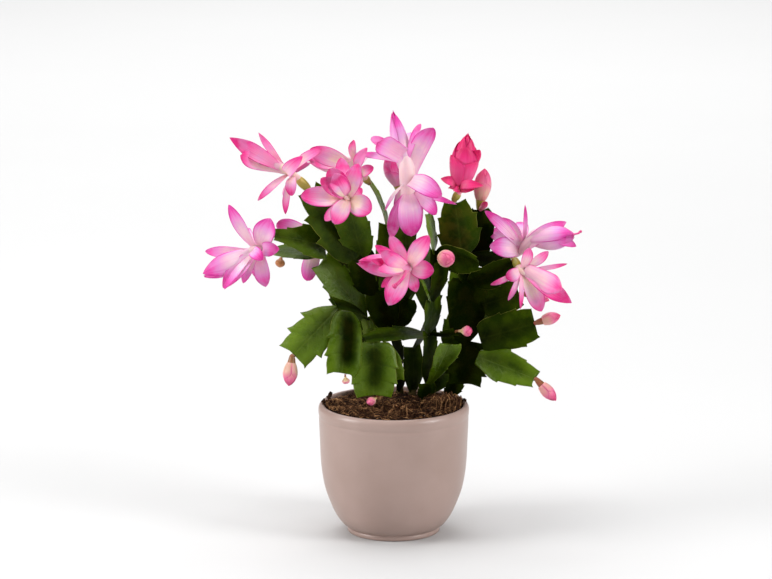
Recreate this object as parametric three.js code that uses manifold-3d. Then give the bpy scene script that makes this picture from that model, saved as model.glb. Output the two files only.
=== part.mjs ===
// A christmas cactus in bloom, in a round glazed pot: flat toothed stem segments, flowers with petals in two
// tiers, buds, soil and the pot. Millimetres, +Z up, origin at the centre of the pot's flat underside.
import * as THREE from "three";
import { mergeVertices } from "three/addons/utils/BufferGeometryUtils.js";
import Module from "manifold-3d";

const wasm = await Module();
wasm.setup();

// Driving dimensions
const POT_HEIGHT = 105;
const POT_RADIUS = 60.4; // at the rounded rim
const FOOT_RADIUS = 37.2;
const WALL = 4.6;
const FLOOR = 9; // thickness of the pot's bottom
const POT_SIDES = 36;
const SOIL_EDGE = 99; // height of the soil at the wall
const SOIL_CROWN = 4; // how much higher the soil is in the middle
const GAP = 0.35; // between pieces that touch
const COLLAR_RADIUS = 3.4; // round foot of a stem, in its hole
const COLLAR_FOOT = 80; // height of the stems' lower ends
const COLLAR_TOP = 109; // height of the round foot's upper end
const FACET = 0.1; // how far joined surfaces may move when their smallest facets are merged
const RIB = 2.4; // thickness of a stem segment at its middle line
const PETAL_RIB = 1.1; // thickness of a petal at its middle line
const SEAT = 0.94; // where a segment ends, as a share of its length, between the horns of its tip
const SUNK = 0.88; // where the next segment starts, inside the one that carries it

const COLOURS = {
  glaze: { color: 0xba9f93, roughness: 0.35 },
  soil: { color: 0x3b2a1e, roughness: 0.95 },
  leaf: { color: 0x3f5f22, roughness: 0.45 },
  petal: { color: 0xee7fb4, roughness: 0.55 },
  bud: { color: 0xd9596c, roughness: 0.5 },
};

// Where the viewer stands who sees the plant from the front. The layout gives each place as it appears in the
// upright plane through the pot's axis: mm to the right, mm above the foot, and how far behind that plane.
const EYE = new THREE.Vector3(-6, -3200, 894);

function at(across, up, behind) {
  const inPlane = new THREE.Vector3(across, 0, up);
  return EYE.clone().lerp(inPlane, (behind - EYE.y) / -EYE.y);
}

// Solids and meshes

function solid(geometry) {
  const bare = geometry.clone();
  bare.deleteAttribute("normal");
  bare.deleteAttribute("uv");
  const merged = mergeVertices(bare, 1e-4);
  return new wasm.Manifold(
    new wasm.Mesh({
      numProp: 3,
      vertProperties: merged.attributes.position.array,
      triVerts: new Uint32Array(merged.index.array),
    }),
  );
}

function solidOfFaces(points, faces) {
  return new wasm.Manifold(
    new wasm.Mesh({
      numProp: 3,
      vertProperties: new Float32Array(points.flatMap((p) => [p.x, p.y, p.z])),
      triVerts: new Uint32Array(faces.flat()),
    }),
  );
}

// Joins solids and keeps the largest body, with any pocket that the joining sealed filled in.
function fuse(solids) {
  const bodies = wasm.Manifold.union(solids).asOriginal().simplify(FACET).decompose();
  const size = (body) => body.volume();
  return bodies.sort((a, b) => size(b) - size(a))[0];
}

function mesh(name, body, look) {
  const { vertProperties, triVerts } = body.getMesh();
  const geometry = new THREE.BufferGeometry();
  geometry.setAttribute("position", new THREE.BufferAttribute(vertProperties, 3));
  geometry.setIndex(new THREE.BufferAttribute(triVerts, 1));
  geometry.computeVertexNormals();
  const made = new THREE.Mesh(geometry, new THREE.MeshStandardMaterial({ ...COLOURS[look], metalness: 0 }));
  made.name = name;
  return made;
}

// Blades: stem segments and petals

// A curved middle line from foot to tip, pushed sideways in its middle, with the direction across the blade
// and the one that its face looks in.
function middleLine(foot, tip, face, bend) {
  const run = tip.clone().sub(foot);
  const length = run.length();
  const along = run.clone().normalize();
  const normal = face.clone().addScaledVector(along, -face.dot(along)).normalize();
  const across = along.clone().cross(normal);
  const middle = foot.clone().lerp(tip, 0.5).addScaledVector(normal, 2 * bend * length);
  const curve = new THREE.QuadraticBezierCurve3(foot, middle, tip);
  return {
    length,
    across,
    point: (u) => curve.getPoint(u),
    along: (u) => curve.getTangent(u),
    face: (u) => across.clone().cross(curve.getTangent(u)).normalize(),
  };
}

// A closed blade with a sharp edge and a thick rib. Each step of its outline gives the share of the length at
// the rib, then at the edge the share of the length and of the half width. Both faces have the same
// triangles, so a folded or bent blade never crosses itself. A pointed blade ends in one vertex.
function blade(line, outline, halfWidth, rib, fold, pointed) {
  const points = [];
  const put = (point) => points.push(point) - 1;
  const onRib = (u, lift) => put(line.point(u).addScaledVector(line.face(u), lift));
  const onEdge = (u, width) => {
    const out = width * halfWidth;
    const lift = fold * Math.abs(out);
    return put(line.point(u).addScaledVector(line.across, out).addScaledVector(line.face(u), lift));
  };
  const ribs = new Map();
  for (const [u] of outline)
    if (!ribs.has(u)) ribs.set(u, { front: onRib(u, rib / 2), back: onRib(u, -rib / 2) });
  const rows = outline.map(([u, edge, width]) => ({
    rib: ribs.get(u),
    right: onEdge(edge, width),
    left: onEdge(edge, -width),
  }));
  const faces = [];
  const both = (a, b, c, d, e, f) => faces.push([a, b, c], [d, f, e]);
  const strip = (here, next) => {
    both(here.rib.front, here.right, next.right, here.rib.back, here.right, next.right);
    both(here.rib.front, next.left, here.left, here.rib.back, next.left, here.left);
    if (here.rib === next.rib) return;
    both(here.rib.front, next.right, next.rib.front, here.rib.back, next.right, next.rib.back);
    both(here.rib.front, next.rib.front, next.left, here.rib.back, next.rib.back, next.left);
  };
  for (let i = 1; i < rows.length; i++) strip(rows[i - 1], rows[i]);
  const first = rows[0];
  faces.push([first.rib.front, first.left, first.rib.back], [first.rib.front, first.rib.back, first.right]);
  const last = rows.at(-1);
  if (pointed) {
    const tip = put(line.point(1));
    both(last.rib.front, last.right, tip, last.rib.back, last.right, tip);
    both(last.rib.front, tip, last.left, last.rib.back, tip, last.left);
  } else {
    faces.push([last.rib.front, last.right, last.rib.back], [last.rib.front, last.rib.back, last.left]);
  }
  return solidOfFaces(points, faces);
}

// Round bodies swept through points, each ring square to the sweep, closed by flat ends.
function sweep(points, radii, sides) {
  const places = [];
  const faces = [];
  const rings = points.map((point, i) => {
    const before = points[Math.max(i - 1, 0)];
    const after = points[Math.min(i + 1, points.length - 1)];
    const along = after.clone().sub(before).normalize();
    const first = new THREE.Vector3(0, 0, 1).cross(along);
    if (first.length() < 0.1) first.set(1, 0, 0);
    first.normalize();
    const second = along.clone().cross(first);
    return Array.from({ length: sides }, (_, k) => {
      const angle = (2 * Math.PI * k) / sides;
      const out = first.clone().multiplyScalar(Math.cos(angle)).addScaledVector(second, Math.sin(angle));
      return places.push(point.clone().addScaledVector(out, radii[i])) - 1;
    });
  });
  rings.slice(1).forEach((ring, i) => {
    for (let k = 0; k < sides; k++) {
      const next = (k + 1) % sides;
      faces.push([rings[i][k], rings[i][next], ring[next]], [rings[i][k], ring[next], ring[k]]);
    }
  });
  const ends = [rings[0], rings.at(-1)];
  for (let k = 2; k < sides; k++) {
    faces.push([ends[0][0], ends[0][k], ends[0][k - 1]]);
    faces.push([ends[1][0], ends[1][k - 1], ends[1][k]]);
  }
  return solidOfFaces(places, faces);
}

// Pot and soil

const INSIDE = [[54.8, 74], [51, 40], [43, 20], [30, FLOOR + 1]]; // the pot's inner wall, radius and height

function turned(profile) {
  const points = profile.map(([radius, height]) => new THREE.Vector2(radius, height));
  return new THREE.LatheGeometry(points, POT_SIDES).rotateX(Math.PI / 2);
}

function pot() {
  const lip = POT_RADIUS - WALL;
  const foot = [[0, 0], [FOOT_RADIUS, 0], [FOOT_RADIUS, 3.4], [FOOT_RADIUS - 0.8, 4.2]];
  const belly = [[41.5, 7.5], [47, 16.5], [51.8, 27], [55.2, 37], [57.4, 48], [59.2, 73], [59.7, 94]];
  const rim = [[POT_RADIUS, 98], [POT_RADIUS, 102], [POT_RADIUS - 1.6, POT_HEIGHT], [lip, POT_HEIGHT - 1.5]];
  return solid(turned([...foot, ...belly, ...rim, ...INSIDE, [0, FLOOR]]));
}

function soilHeight(x, y) {
  const far = Math.hypot(x, y) / (POT_RADIUS - WALL);
  const lumps = 0.7 * Math.sin(0.21 * x + 1.1) * Math.cos(0.19 * y) + 0.5 * Math.sin(0.37 * y - 0.12 * x);
  return SOIL_EDGE + SOIL_CROWN * (1 - far * far) + lumps * (1 - far ** 4);
}

function soil(roots) {
  const edge = POT_RADIUS - WALL - 2 * GAP;
  const wall = [...INSIDE].reverse().map(([radius, height]) => [radius - GAP, height + GAP]);
  const top = [48, 34, 18].map((radius) => [radius, SOIL_EDGE]);
  const shape = turned([[0, FLOOR + 1 + GAP], ...wall, [edge, SOIL_EDGE], ...top, [0, SOIL_EDGE]]);
  const place = shape.attributes.position;
  for (let i = 0; i < place.count; i++)
    if (place.getZ(i) > SOIL_EDGE - 0.01) place.setZ(i, soilHeight(place.getX(i), place.getY(i)));
  const wide = COLLAR_RADIUS + GAP + 0.1;
  const holes = roots.map(({ x, y }) => {
    const foot = new THREE.Vector3(x, y, COLLAR_FOOT - GAP);
    return sweep([foot, foot.clone().setZ(POT_HEIGHT + 5)], [wide, wide], 8);
  });
  return solid(shape).subtract(wasm.Manifold.union(holes));
}

// Leafy stems

const SEGMENT = [
  [0, 0, 0.2], [0.09, 0.09, 0.48], [0.24, 0.24, 0.82], [0.42, 0.44, 1.03], [0.42, 0.47, 0.92],
  [0.66, 0.71, 1.02], [0.66, 0.73, 0.87], [0.66, 0.99, 0.74], [SEAT, 0.92, 0.38],
];
const LAST_NOTCH = SEGMENT[6]; // behind the last tooth

// A segment grows from a parent, or from the collar in the soil, to a tip. Its face looks at the viewer,
// turned about its length by some degrees, its wings folded up and its middle bent towards that face.
function segment(from, tip, width, { turn = 0, fold = 0.15, bend = 0.04, shift = 0, rib = RIB } = {}) {
  const foot = from.line
    ? from.line.point(SUNK).addScaledVector(from.line.across, shift * from.halfWidth)
    : from.top.clone();
  const along = tip.clone().sub(foot).normalize();
  const face = EYE.clone().sub(foot).normalize();
  face.addScaledVector(along, -face.dot(along)).normalize();
  face.applyAxisAngle(along, THREE.MathUtils.degToRad(turn));
  const line = middleLine(foot, tip, face, bend);
  return { line, halfWidth: width / 2, body: blade(line, SEGMENT, width / 2, rib, fold, false) };
}

// The round foot of a stem, upright in the soil. The first segment starts inside its upper end.
function collar(x, y) {
  const foot = new THREE.Vector3(x, y, COLLAR_FOOT);
  const neck = new THREE.Vector3(x, y, COLLAR_TOP);
  const body = sweep([foot, neck], [COLLAR_RADIUS, COLLAR_RADIUS * 0.85], 8);
  return { x, y, body, top: neck.clone().setZ(COLLAR_TOP - 4) };
}

// Where a bloom or bud sits on a segment, and which way it starts.
function seat(from, shift = 0) {
  const start = from.line.along(1);
  const place = from.line.point(SEAT).addScaledVector(from.line.across, shift * from.halfWidth);
  return { place: place.addScaledVector(start, GAP), start };
}

// The same on a side of the segment, in the notch behind its last tooth.
function margin(from, side) {
  const [, notch, width] = LAST_NOTCH;
  const start = from.line.across.clone().multiplyScalar(side);
  const place = from.line.point(notch).addScaledVector(start, width * from.halfWidth + 2 * GAP);
  return { place, start };
}

const stems = {};
const roots = [];

function stem(name, root, parts) {
  const foot = collar(root.x, root.y);
  roots.push(foot);
  stems[name] = { foot };
  const bodies = [foot.body];
  for (const [key, from, tip, width, how] of parts) {
    const made = segment(stems[name][from], tip, width, how);
    stems[name][key] = made;
    bodies.push(made.body);
  }
  return mesh(name, fuse(bodies), "leaf");
}

const leftStem = stem("stem_left", { x: -17, y: 32 }, [
  ["low", "foot", at(-18, 145, 30), 18, { turn: 35, rib: 3.4 }],
  ["rise", "low", at(-21, 178, 22), 19, { turn: 40 }],
  ["arm", "rise", at(-48, 186, -6), 22, { turn: 66, bend: 0.08 }],
  ["fan", "arm", at(-80, 142, -26), 31, { turn: 8, shift: -0.2, bend: 0.05, fold: 0.12 }],
  ["drop", "arm", at(-41, 126, -42), 29, { turn: -18, shift: 0.2, bend: 0.08, fold: 0.3 }],
  ["rear", "rise", at(-60, 223, 6), 27, { turn: 18, shift: -0.3, fold: 0.2 }],
  ["reach", "rear", at(-98, 224, 10), 19, { turn: 50, shift: -0.3, bend: 0.05 }],
  ["point", "rear", at(-97, 241, -10), 27, { turn: 30, shift: 0.1, bend: 0.06, fold: 0.3 }],
]);

const middleStem = stem("stem_middle", { x: 5, y: 36 }, [
  ["low", "foot", at(4, 131, 33), 15, { turn: 60, rib: 3.4 }],
  ["rise", "low", at(-3, 172, 28), 20, { turn: 62 }],
  ["west", "rise", at(-16, 199, 18), 27, { turn: 20, shift: -0.2 }],
  ["east", "rise", at(11, 193, 30), 25, { turn: -15, shift: 0.3 }],
  ["back", "west", at(-33, 225, 8), 25, { turn: 24, shift: -0.2 }],
  ["left_blade", "back", at(-66, 281, 4), 29, { turn: 22, shift: -0.3, bend: 0.05 }],
  ["right_blade", "back", at(-35, 266, -10), 27, { turn: -14, shift: 0.2, fold: 0.25 }],
  ["hidden", "back", at(-52, 233, 26), 15, { turn: 66 }],
  ["upright", "west", at(-5, 254, 20), 23, { turn: 34, shift: 0.35 }],
  ["stalk", "upright", at(-20, 285, 15), 17, { turn: 78, bend: 0.06 }],
  ["tower", "east", at(7, 224, 16), 24, { turn: 10 }],
  ["top", "tower", at(9, 253, 2), 18, { turn: 20, shift: 0.1 }],
  ["behind", "tower", at(4, 280, 36), 16, { turn: 74, shift: -0.2 }],
]);

const mainStem = stem("stem_main", { x: 25, y: 12 }, [
  ["low", "foot", at(26, 122, 10), 17, { turn: 30, rib: 4.2 }],
  ["rise", "low", at(27, 167, 5), 22, { turn: 50, rib: 3 }],
  ["upper", "rise", at(30, 192, -2), 20, { turn: 50 }],
  ["crest", "upper", at(18, 215, -22), 18, { turn: 70, shift: -0.2, bend: 0.07 }],
  ["next", "upper", at(37, 224, -22), 20, { turn: 50, shift: 0.2 }],
  ["mid", "upper", at(33, 232, 4), 18, { turn: 46, shift: 0.1 }],
  ["spur", "mid", at(26, 261, 2), 17, { turn: 68, shift: -0.3 }],
  ["trough", "mid", at(66, 217, -19), 26, { turn: 34, fold: 0.5, bend: -0.06, shift: 0.2 }],
  ["shelf", "rise", at(-24, 160, -16), 24, { turn: 62, bend: 0.05, shift: -0.2 }],
  ["apron", "shelf", at(-16, 110, -22), 35, { turn: -4, fold: 0.32, bend: 0.03, shift: 0.1 }],
  ["flap", "shelf", at(7, 123, -6), 21, { turn: 16, fold: 0.25 }],
  ["lean", "low", at(50, 156, -14), 23, { turn: 34, fold: 0.3, shift: 0.2 }],
  ["peg", "rise", at(50, 164, -4), 13, { turn: 62, shift: 0.2 }],
]);

const rightStem = stem("stem_right", { x: 44, y: 19 }, [
  ["low", "foot", at(51, 126, 16), 17, { turn: 30, rib: 3.6 }],
  ["rise", "low", at(59, 157, 12), 27, { turn: 20 }],
  ["tall", "rise", at(56, 210, 8), 34, { turn: 24, shift: -0.2 }],
  ["neck", "tall", at(55, 229, 8), 23, { turn: 46 }],
  ["brown", "neck", at(50, 267, 5), 31, { turn: 14, shift: -0.2, fold: 0.1 }],
  ["dark", "neck", at(68, 265, 18), 27, { turn: 36, shift: 0.3 }],
  ["east", "tall", at(95, 220, -6), 30, { turn: 38, shift: 0.3, fold: 0.25 }],
  ["rear", "neck", at(88, 224, 25), 16, { turn: 66, shift: 0.2 }],
  ["skirt", "rise", at(57, 119, 6), 31, { turn: 4, fold: 0.15 }],
  ["wing", "rise", at(101, 198, 15), 29, { turn: -10, shift: 0.1, fold: 0.12 }],
  ["broad", "rise", at(114, 172, 0), 35, { turn: 8, shift: 0.2, fold: 0.12 }],
  ["low_wing", "rise", at(112, 122, -16), 27, { turn: -12, shift: 0.35, fold: 0.35, bend: 0.06 }],
]);

const backStem = stem("stem_back", { x: 15, y: 29 }, [
  ["low", "foot", at(14, 153, 32), 21, { turn: 36, rib: 3.2 }],
  ["rise", "low", at(29, 181, 52), 18, { turn: 70 }],
  ["arch", "rise", at(24, 214, 76), 25, { turn: 30 }],
  ["top", "arch", at(18, 233, 100), 24, { turn: 10, bend: 0.08 }],
  ["fall", "arch", at(3, 193, 104), 27, { turn: 20, bend: 0.1, shift: -0.3 }],
]);

const farLeftStem = stem("stem_far_left", { x: -6, y: 42 }, [
  ["low", "foot", at(-24, 145, 52), 19, { turn: 20, rib: 3.4 }],
  ["rise", "low", at(-38, 180, 62), 23, { turn: 14 }],
  ["upper", "rise", at(-43, 214, 76), 25, { turn: -20 }],
  ["top", "upper", at(-45, 243, 88), 25, { turn: 24, bend: 0.08 }],
  ["fall", "rise", at(-30, 196, 106), 28, { turn: 10, bend: 0.1, shift: 0.3 }],
]);

const farRightStem = stem("stem_far_right", { x: 31, y: 34 }, [
  ["low", "foot", at(47, 149, 44), 19, { turn: 24, rib: 3.4 }],
  ["rise", "low", at(55, 180, 58), 25, { turn: -16 }],
  ["reach", "rise", at(88, 175, 82), 26, { turn: 16, shift: 0.3, bend: 0.06 }],
  ["upper", "rise", at(53, 212, 76), 25, { turn: 24 }],
  ["top", "upper", at(50, 245, 92), 25, { turn: -12, bend: 0.08 }],
]);

// Blooms

const PETAL = [[0, 0, 0.36], [0.3, 0.3, 0.7], [0.6, 0.6, 1], [0.84, 0.84, 0.78]];
const SLIM_PETAL = [[0, 0, 0.4], [0.5, 0.5, 1], [0.82, 0.82, 0.72]];
const ROOT_OUT = 1.3; // how far off the axis a petal starts, inside the tube
const WIDE = 13; // a petal from this width up has a fuller outline
const CONE_WIDTH = { 3: 1.1, 4: 0.92 }; // half width of a cone petal against the radius, for 3 or 4 petals
const CUP = 0.22; // how far a petal's edges turn up, against its half width

// A petal leaves the flower's axis at a root and arches to its tip. Its inner face looks to the flower's
// front, and twists towards the viewer by a share.
function petal(root, tip, width, axis, bow, twist) {
  const out = tip.clone().sub(root);
  out.addScaledVector(axis, -out.dot(axis)).setLength(ROOT_OUT);
  root.add(out);
  const along = tip.clone().sub(root).normalize();
  const front = axis.clone().addScaledVector(along, -axis.dot(along)).normalize();
  const viewer = EYE.clone().sub(root).normalize();
  viewer.addScaledVector(along, -viewer.dot(along)).normalize();
  if (viewer.dot(front) < 0) viewer.negate();
  const face = front.lerp(viewer, twist);
  const line = middleLine(root, tip, face, bow);
  return blade(line, width < WIDE ? SLIM_PETAL : PETAL, width / 2, PETAL_RIB, CUP, true);
}

// The innermost petals close into a cone round the axis, from the tube's mouth to the nose.
function cone(mouth, nose, radius, count, start) {
  const axis = nose.clone().sub(mouth);
  const length = axis.length();
  axis.normalize();
  const sideways = new THREE.Vector3(0, 0, 1).cross(axis).normalize();
  return Array.from({ length: count }, (_, k) => {
    const angle = THREE.MathUtils.degToRad(start) + (2 * Math.PI * k) / count;
    const out = sideways.clone().applyAxisAngle(axis, angle);
    const tip = nose.clone().addScaledVector(out, 0.08 * radius).addScaledVector(axis, -0.05 * length * k);
    const root = mouth.clone().addScaledVector(out, 0.3 * radius);
    const line = middleLine(root, tip, out, radius / length / 1.15);
    return blade(line, SLIM_PETAL, radius * CONE_WIDTH[count], PETAL_RIB, -CUP, true);
  });
}

// A bloom's tube runs from its seat through the ovary and the throat to the mouth. The first petals leave it
// between throat and mouth, and the innermost form the cone.
function bloom(name, on, shape) {
  const { place, start } = on;
  const { throat, mouth, nose, radius, count = 3, turn = 0, flare = 4, twist = 0.7, petals } = shape;
  const neck = place.clone().addScaledVector(start, 2.4);
  const ovary = neck.clone().lerp(throat, 0.45);
  const tube = sweep([place, neck, ovary, throat, mouth], [1.3, 2.2, 3.1, 2.7, flare], 6);
  const axis = mouth.clone().sub(throat).normalize();
  const bodies = [tube, ...cone(mouth.clone().lerp(throat, 0.25), nose, radius, count, turn)];
  for (const [share, tip, width, bow] of petals)
    bodies.push(petal(throat.clone().lerp(mouth, share), tip, width, axis, bow, twist));
  if (shape.style) bodies.push(sweep([mouth.clone().lerp(throat, 0.3), ...shape.style], [1, 1, 1.2], 5));
  return mesh(name, fuse(bodies), "petal");
}

const blooms = [
  bloom("bloom_upper_left", seat(stems.stem_middle.left_blade), {
    throat: at(-77, 290, -2), mouth: at(-89, 297, -8), nose: at(-130, 321, -20),
    radius: 9, turn: 60,
    petals: [
      [0.9, at(-121, 305, -30), 14, 0.1], [0.7, at(-107, 325, 0), 6, 0.06],
      [0.4, at(-108, 270, -20), 6, 0.12], [0.2, at(-86, 259, -12), 7, 0.16],
      [0.1, at(-82, 275, 0), 9, 0.3], [0.3, at(-72, 305, -24), 11, 0.4], [0.3, at(-56, 309, -6), 8, 0.3],
      [0.1, at(-66, 299, 20), 9, 0.4], [0.1, at(-93, 274, 14), 8, 0.2],
    ],
  }),
  bloom("bloom_left_front", seat(stems.stem_middle.right_blade), {
    throat: at(-35, 271, -24), mouth: at(-38, 274, -34), nose: at(-55, 287, -62),
    radius: 8.5, turn: 20,
    petals: [
      [0.4, at(-74, 274, -40), 16, 0.14], [0.2, at(-55, 254, -32), 8, 0.2],
      [0.6, at(-47, 251, -46), 13, 0.16], [0.4, at(-19, 261, -40), 16, 0.2],
      [0.5, at(-28, 300, -44), 13, 0.2], [0.2, at(-42, 305, -30), 13, 0.2],
      [0.1, at(-25, 280, -28), 8, 0.2],
    ],
  }),
  bloom("bloom_arched", seat(stems.stem_middle.stalk), {
    throat: at(-24, 290, 10), mouth: at(-33, 298, 6), nose: at(-71, 306, 10),
    radius: 8, turn: 90,
    petals: [
      [0.6, at(-31, 319, 0), 7, 0.1], [0.4, at(-20, 313, -4), 8, 0.3], [0.1, at(-20, 300, -6), 9, 0.4],
      [0.2, at(-28, 280, 0), 7, 0.2], [0.5, at(-22, 307, 26), 8, 0.2], [0.3, at(-35, 280, 24), 8, 0.2],
      [0.8, at(-64, 300, 2), 11, 0.12],
    ],
  }),
  bloom("bloom_top", seat(stems.stem_middle.top), {
    throat: at(11, 273, -4), mouth: at(9, 311, -6), nose: at(-1, 343, -4),
    radius: 8.5, turn: 30, flare: 7,
    petals: [
      [0.95, at(-13, 323, -32), 17, 0.3], [0.9, at(-19, 321, 10), 10, 0.16],
      [0.85, at(-28, 307, -6), 7, 0.14], [1, at(31, 329, -10), 14, 0.16], [0.95, at(21, 330, 14), 7, 0.1],
      [0.95, at(8, 322, 30), 12, 0.3], [0.15, at(39, 273, -26), 16, 0.3],
      [0.06, at(35, 259, -10), 12, 0.3], [0.06, at(50, 267, -12), 5, 0.1],
      [0.1, at(14, 241, -26), 20, 0.3], [0.1, at(-2, 240, -16), 11, 0.25], [0.12, at(-7, 260, 6), 4, 0.2],
      [0.12, at(21, 251, 20), 12, 0.3], [0.1, at(2, 258, 16), 11, 0.3],
    ],
  }),
  bloom("bloom_half_open", seat(stems.stem_right.brown), {
    throat: at(52, 278, 3), mouth: at(53, 285, 2), nose: at(59, 325, 0),
    radius: 10.5, count: 4, turn: 10,
    petals: [
      [0.9, at(68, 311, -8), 12, 0.14], [0.9, at(50, 311, -6), 11, 0.14],
      [0.9, at(57, 313, 14), 12, 0.16], [0.2, at(37, 288, 0), 8, 0.4], [0.2, at(71, 282, -14), 8, 0.35],
      [0, at(44, 281, -8), 5, 0.2], [0.2, at(57, 280, 24), 8, 0.35],
    ],
  }),
  bloom("bloom_right", seat(stems.stem_right.rear), {
    throat: at(100, 230, 15), mouth: at(113, 240, 4), nose: at(145, 242, -8),
    radius: 9.5, turn: 70, flare: 5,
    petals: [
      [1, at(140, 252, 4), 10, 0.12], [1, at(145, 233, -8), 9, 0.14], [0.2, at(104, 267, 6), 5, 0.06],
      [0.1, at(72, 262, 4), 14, 0.16], [0, at(76, 233, -2), 17, 0.2], [0, at(76, 246, 26), 13, 0.2],
      [0.2, at(100, 253, 38), 10, 0.2],
    ],
    style: [at(130, 242, -4), at(150, 239, -9)],
  }),
  bloom("bloom_lower_right", seat(stems.stem_right.east), {
    throat: at(100, 215, -11), mouth: at(107, 209, -17), nose: at(142, 187, -28),
    radius: 8, turn: 100,
    petals: [
      [0.9, at(132, 197, -42), 17, 0.14], [0.3, at(108, 232, -12), 9, 0.12],
      [0.3, at(123, 229, -6), 8, 0.12], [0.5, at(138, 219, 0), 4, 0.06],
      [0.5, at(118, 180, -14), 13, 0.14], [0.3, at(101, 182, -24), 4, 0.1],
      [0.2, at(91, 189, -20), 5, 0.14], [0.1, at(77, 202, -16), 5, 0.14], [0.1, at(87, 209, -18), 9, 0.3],
      [0.4, at(121, 209, 16), 10, 0.2],
    ],
  }),
  bloom("bloom_front", seat(stems.stem_main.crest), {
    throat: at(14, 215, -34), mouth: at(9, 216, -44), nose: at(-30, 220, -62),
    radius: 8.5, turn: 0,
    petals: [
      [0.8, at(-12, 230, -72), 13, 0.16], [0.9, at(-13, 214, -74), 9, 0.12],
      [0.3, at(-15, 234, -44), 9, 0.14], [0.2, at(-3, 242, -38), 11, 0.2],
      [0.5, at(28, 242, -54), 15, 0.14], [0.4, at(32, 213, -48), 15, 0.18],
      [0.3, at(18, 196, -48), 10, 0.2], [0.6, at(-4, 185, -60), 17, 0.14],
      [0.3, at(-10, 200, -48), 9, 0.16],
    ],
    style: [at(7, 207, -62), at(0, 200, -72)],
  }),
  bloom("bloom_left", seat(stems.stem_left.point), {
    throat: at(-104, 232, -20), mouth: at(-113, 228, -28), nose: at(-153, 208, -45),
    radius: 8.5, turn: 40,
    petals: [
      [0.9, at(-151, 230, -26), 8, 0.14], [0.6, at(-131, 267, -30), 10, 0.1],
      [0.6, at(-135, 198, -52), 14, 0.14], [0.4, at(-110, 220, -46), 9, 0.4],
      [0.2, at(-102, 200, -30), 13, 0.2], [0.2, at(-110, 208, -14), 7, 0.2],
      [0.2, at(-97, 255, -30), 18, 0.2], [0.1, at(-91, 231, -34), 12, 0.3],
      [0.3, at(-117, 246, -2), 10, 0.2],
    ],
  }),
  bloom("bloom_rear_left", seat(stems.stem_middle.hidden), {
    throat: at(-59, 237, 32), mouth: at(-66, 240, 40), nose: at(-83, 236, 66),
    radius: 7, turn: 40,
    petals: [
      [0.3, at(-93, 251, 34), 12, 0.14], [0.3, at(-69, 205, 30), 15, 0.16],
      [0.8, at(-87, 233, 48), 9, 0.1], [0.4, at(-57, 251, 58), 10, 0.2], [0.4, at(-48, 220, 58), 10, 0.2],
    ],
  }),
  bloom("bloom_back_left", seat(stems.stem_far_left.top), {
    throat: at(-47, 247, 100), mouth: at(-48, 250, 110), nose: at(-51, 259, 144),
    radius: 8, turn: 15, twist: 0,
    petals: [
      [0.3, at(-66, 259, 108), 12, 0.16], [0.2, at(-59, 229, 108), 12, 0.16],
      [0.3, at(-39, 224, 112), 12, 0.16], [0.2, at(-25, 243, 106), 12, 0.16],
      [0.3, at(-32, 271, 110), 12, 0.16], [0.2, at(-52, 275, 106), 11, 0.16],
    ],
  }),
  bloom("bloom_back_middle", seat(stems.stem_back.top), {
    throat: at(14, 232, 112), mouth: at(14, 230, 122), nose: at(10, 225, 152),
    radius: 8, turn: 35, twist: 0,
    petals: [
      [0.3, at(-6, 220, 120), 12, 0.16], [0.2, at(0, 199, 114), 12, 0.16],
      [0.3, at(17, 195, 120), 12, 0.16], [0.2, at(30, 212, 116), 11, 0.16],
      [0.3, at(26, 233, 118), 10, 0.16], [0.2, at(7, 240, 114), 11, 0.16],
    ],
  }),
  bloom("bloom_back_right", seat(stems.stem_far_right.reach), {
    throat: at(92, 174, 92), mouth: at(94, 174, 102), nose: at(96, 175, 134),
    radius: 7.5, turn: 15, twist: 0,
    petals: [
      [0.3, at(78, 188, 100), 11, 0.16], [0.2, at(95, 194, 98), 11, 0.16],
      [0.3, at(108, 180, 102), 11, 0.16], [0.2, at(104, 161, 98), 11, 0.16],
      [0.3, at(87, 155, 102), 11, 0.16], [0.2, at(75, 170, 98), 11, 0.16],
    ],
  }),
];

// Buds

// A closed bud: a stalk, a rounded ovary and a pointed head.
function bud(name, on, tip, radius) {
  const { place, start } = on;
  const neck = place.clone().addScaledVector(start, Math.min(2, 0.15 * place.distanceTo(tip)));
  const share = (part) => neck.clone().lerp(tip, part);
  const body = sweep(
    [place, neck, share(0.28), share(0.55), share(0.8), tip],
    [0.35, 0.42, 0.62, 1, 0.72, 0.12].map((part) => Math.max(part * radius, 0.5)),
    7,
  );
  return mesh(name, body, "bud");
}

const buds = [
  bud("bud_lower_left", seat(stems.stem_left.fan), at(-84, 119, -30), 5.4),
  bud("bud_small_left", seat(stems.stem_left.drop, 0.2), at(-38, 121, -37), 2.4),
  bud("bud_apron", seat(stems.stem_main.apron, -0.15), at(-21, 104, -36), 3),
  bud("bud_middle", seat(stems.stem_main.next), at(45, 223, -40), 6.6),
  bud("bud_peg", seat(stems.stem_main.peg), at(63, 164, -12), 4.2),
  bud("bud_right", seat(stems.stem_right.broad), at(133, 177, -4), 4.4),
  bud("bud_right_rear", seat(stems.stem_right.wing), at(124, 189, 10), 3.6),
  bud("bud_lower_right", seat(stems.stem_right.low_wing), at(130, 107, -20), 4.6),
  bud("bud_tan", margin(stems.stem_left.reach, -1), at(-90, 211, -2), 4),
  bud("bud_tall", seat(stems.stem_right.dark), at(73, 296, 14), 7),
  bud("bud_red", seat(stems.stem_middle.behind), at(-5, 306, 20), 6.4),
  bud("bud_back_right", seat(stems.stem_far_right.top), at(51, 259, 112), 5),
  bud("bud_back_left", seat(stems.stem_far_left.fall), at(-25, 188, 124), 4.6),
];

const plant = new THREE.Group();
plant.add(mesh("pot", pot(), "glaze"));
plant.add(mesh("soil", soil(roots), "soil"));
plant.add(leftStem, middleStem, mainStem, rightStem, backStem, farLeftStem, farRightStem);
plant.add(...blooms, ...buds);

export default plant;
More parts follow.
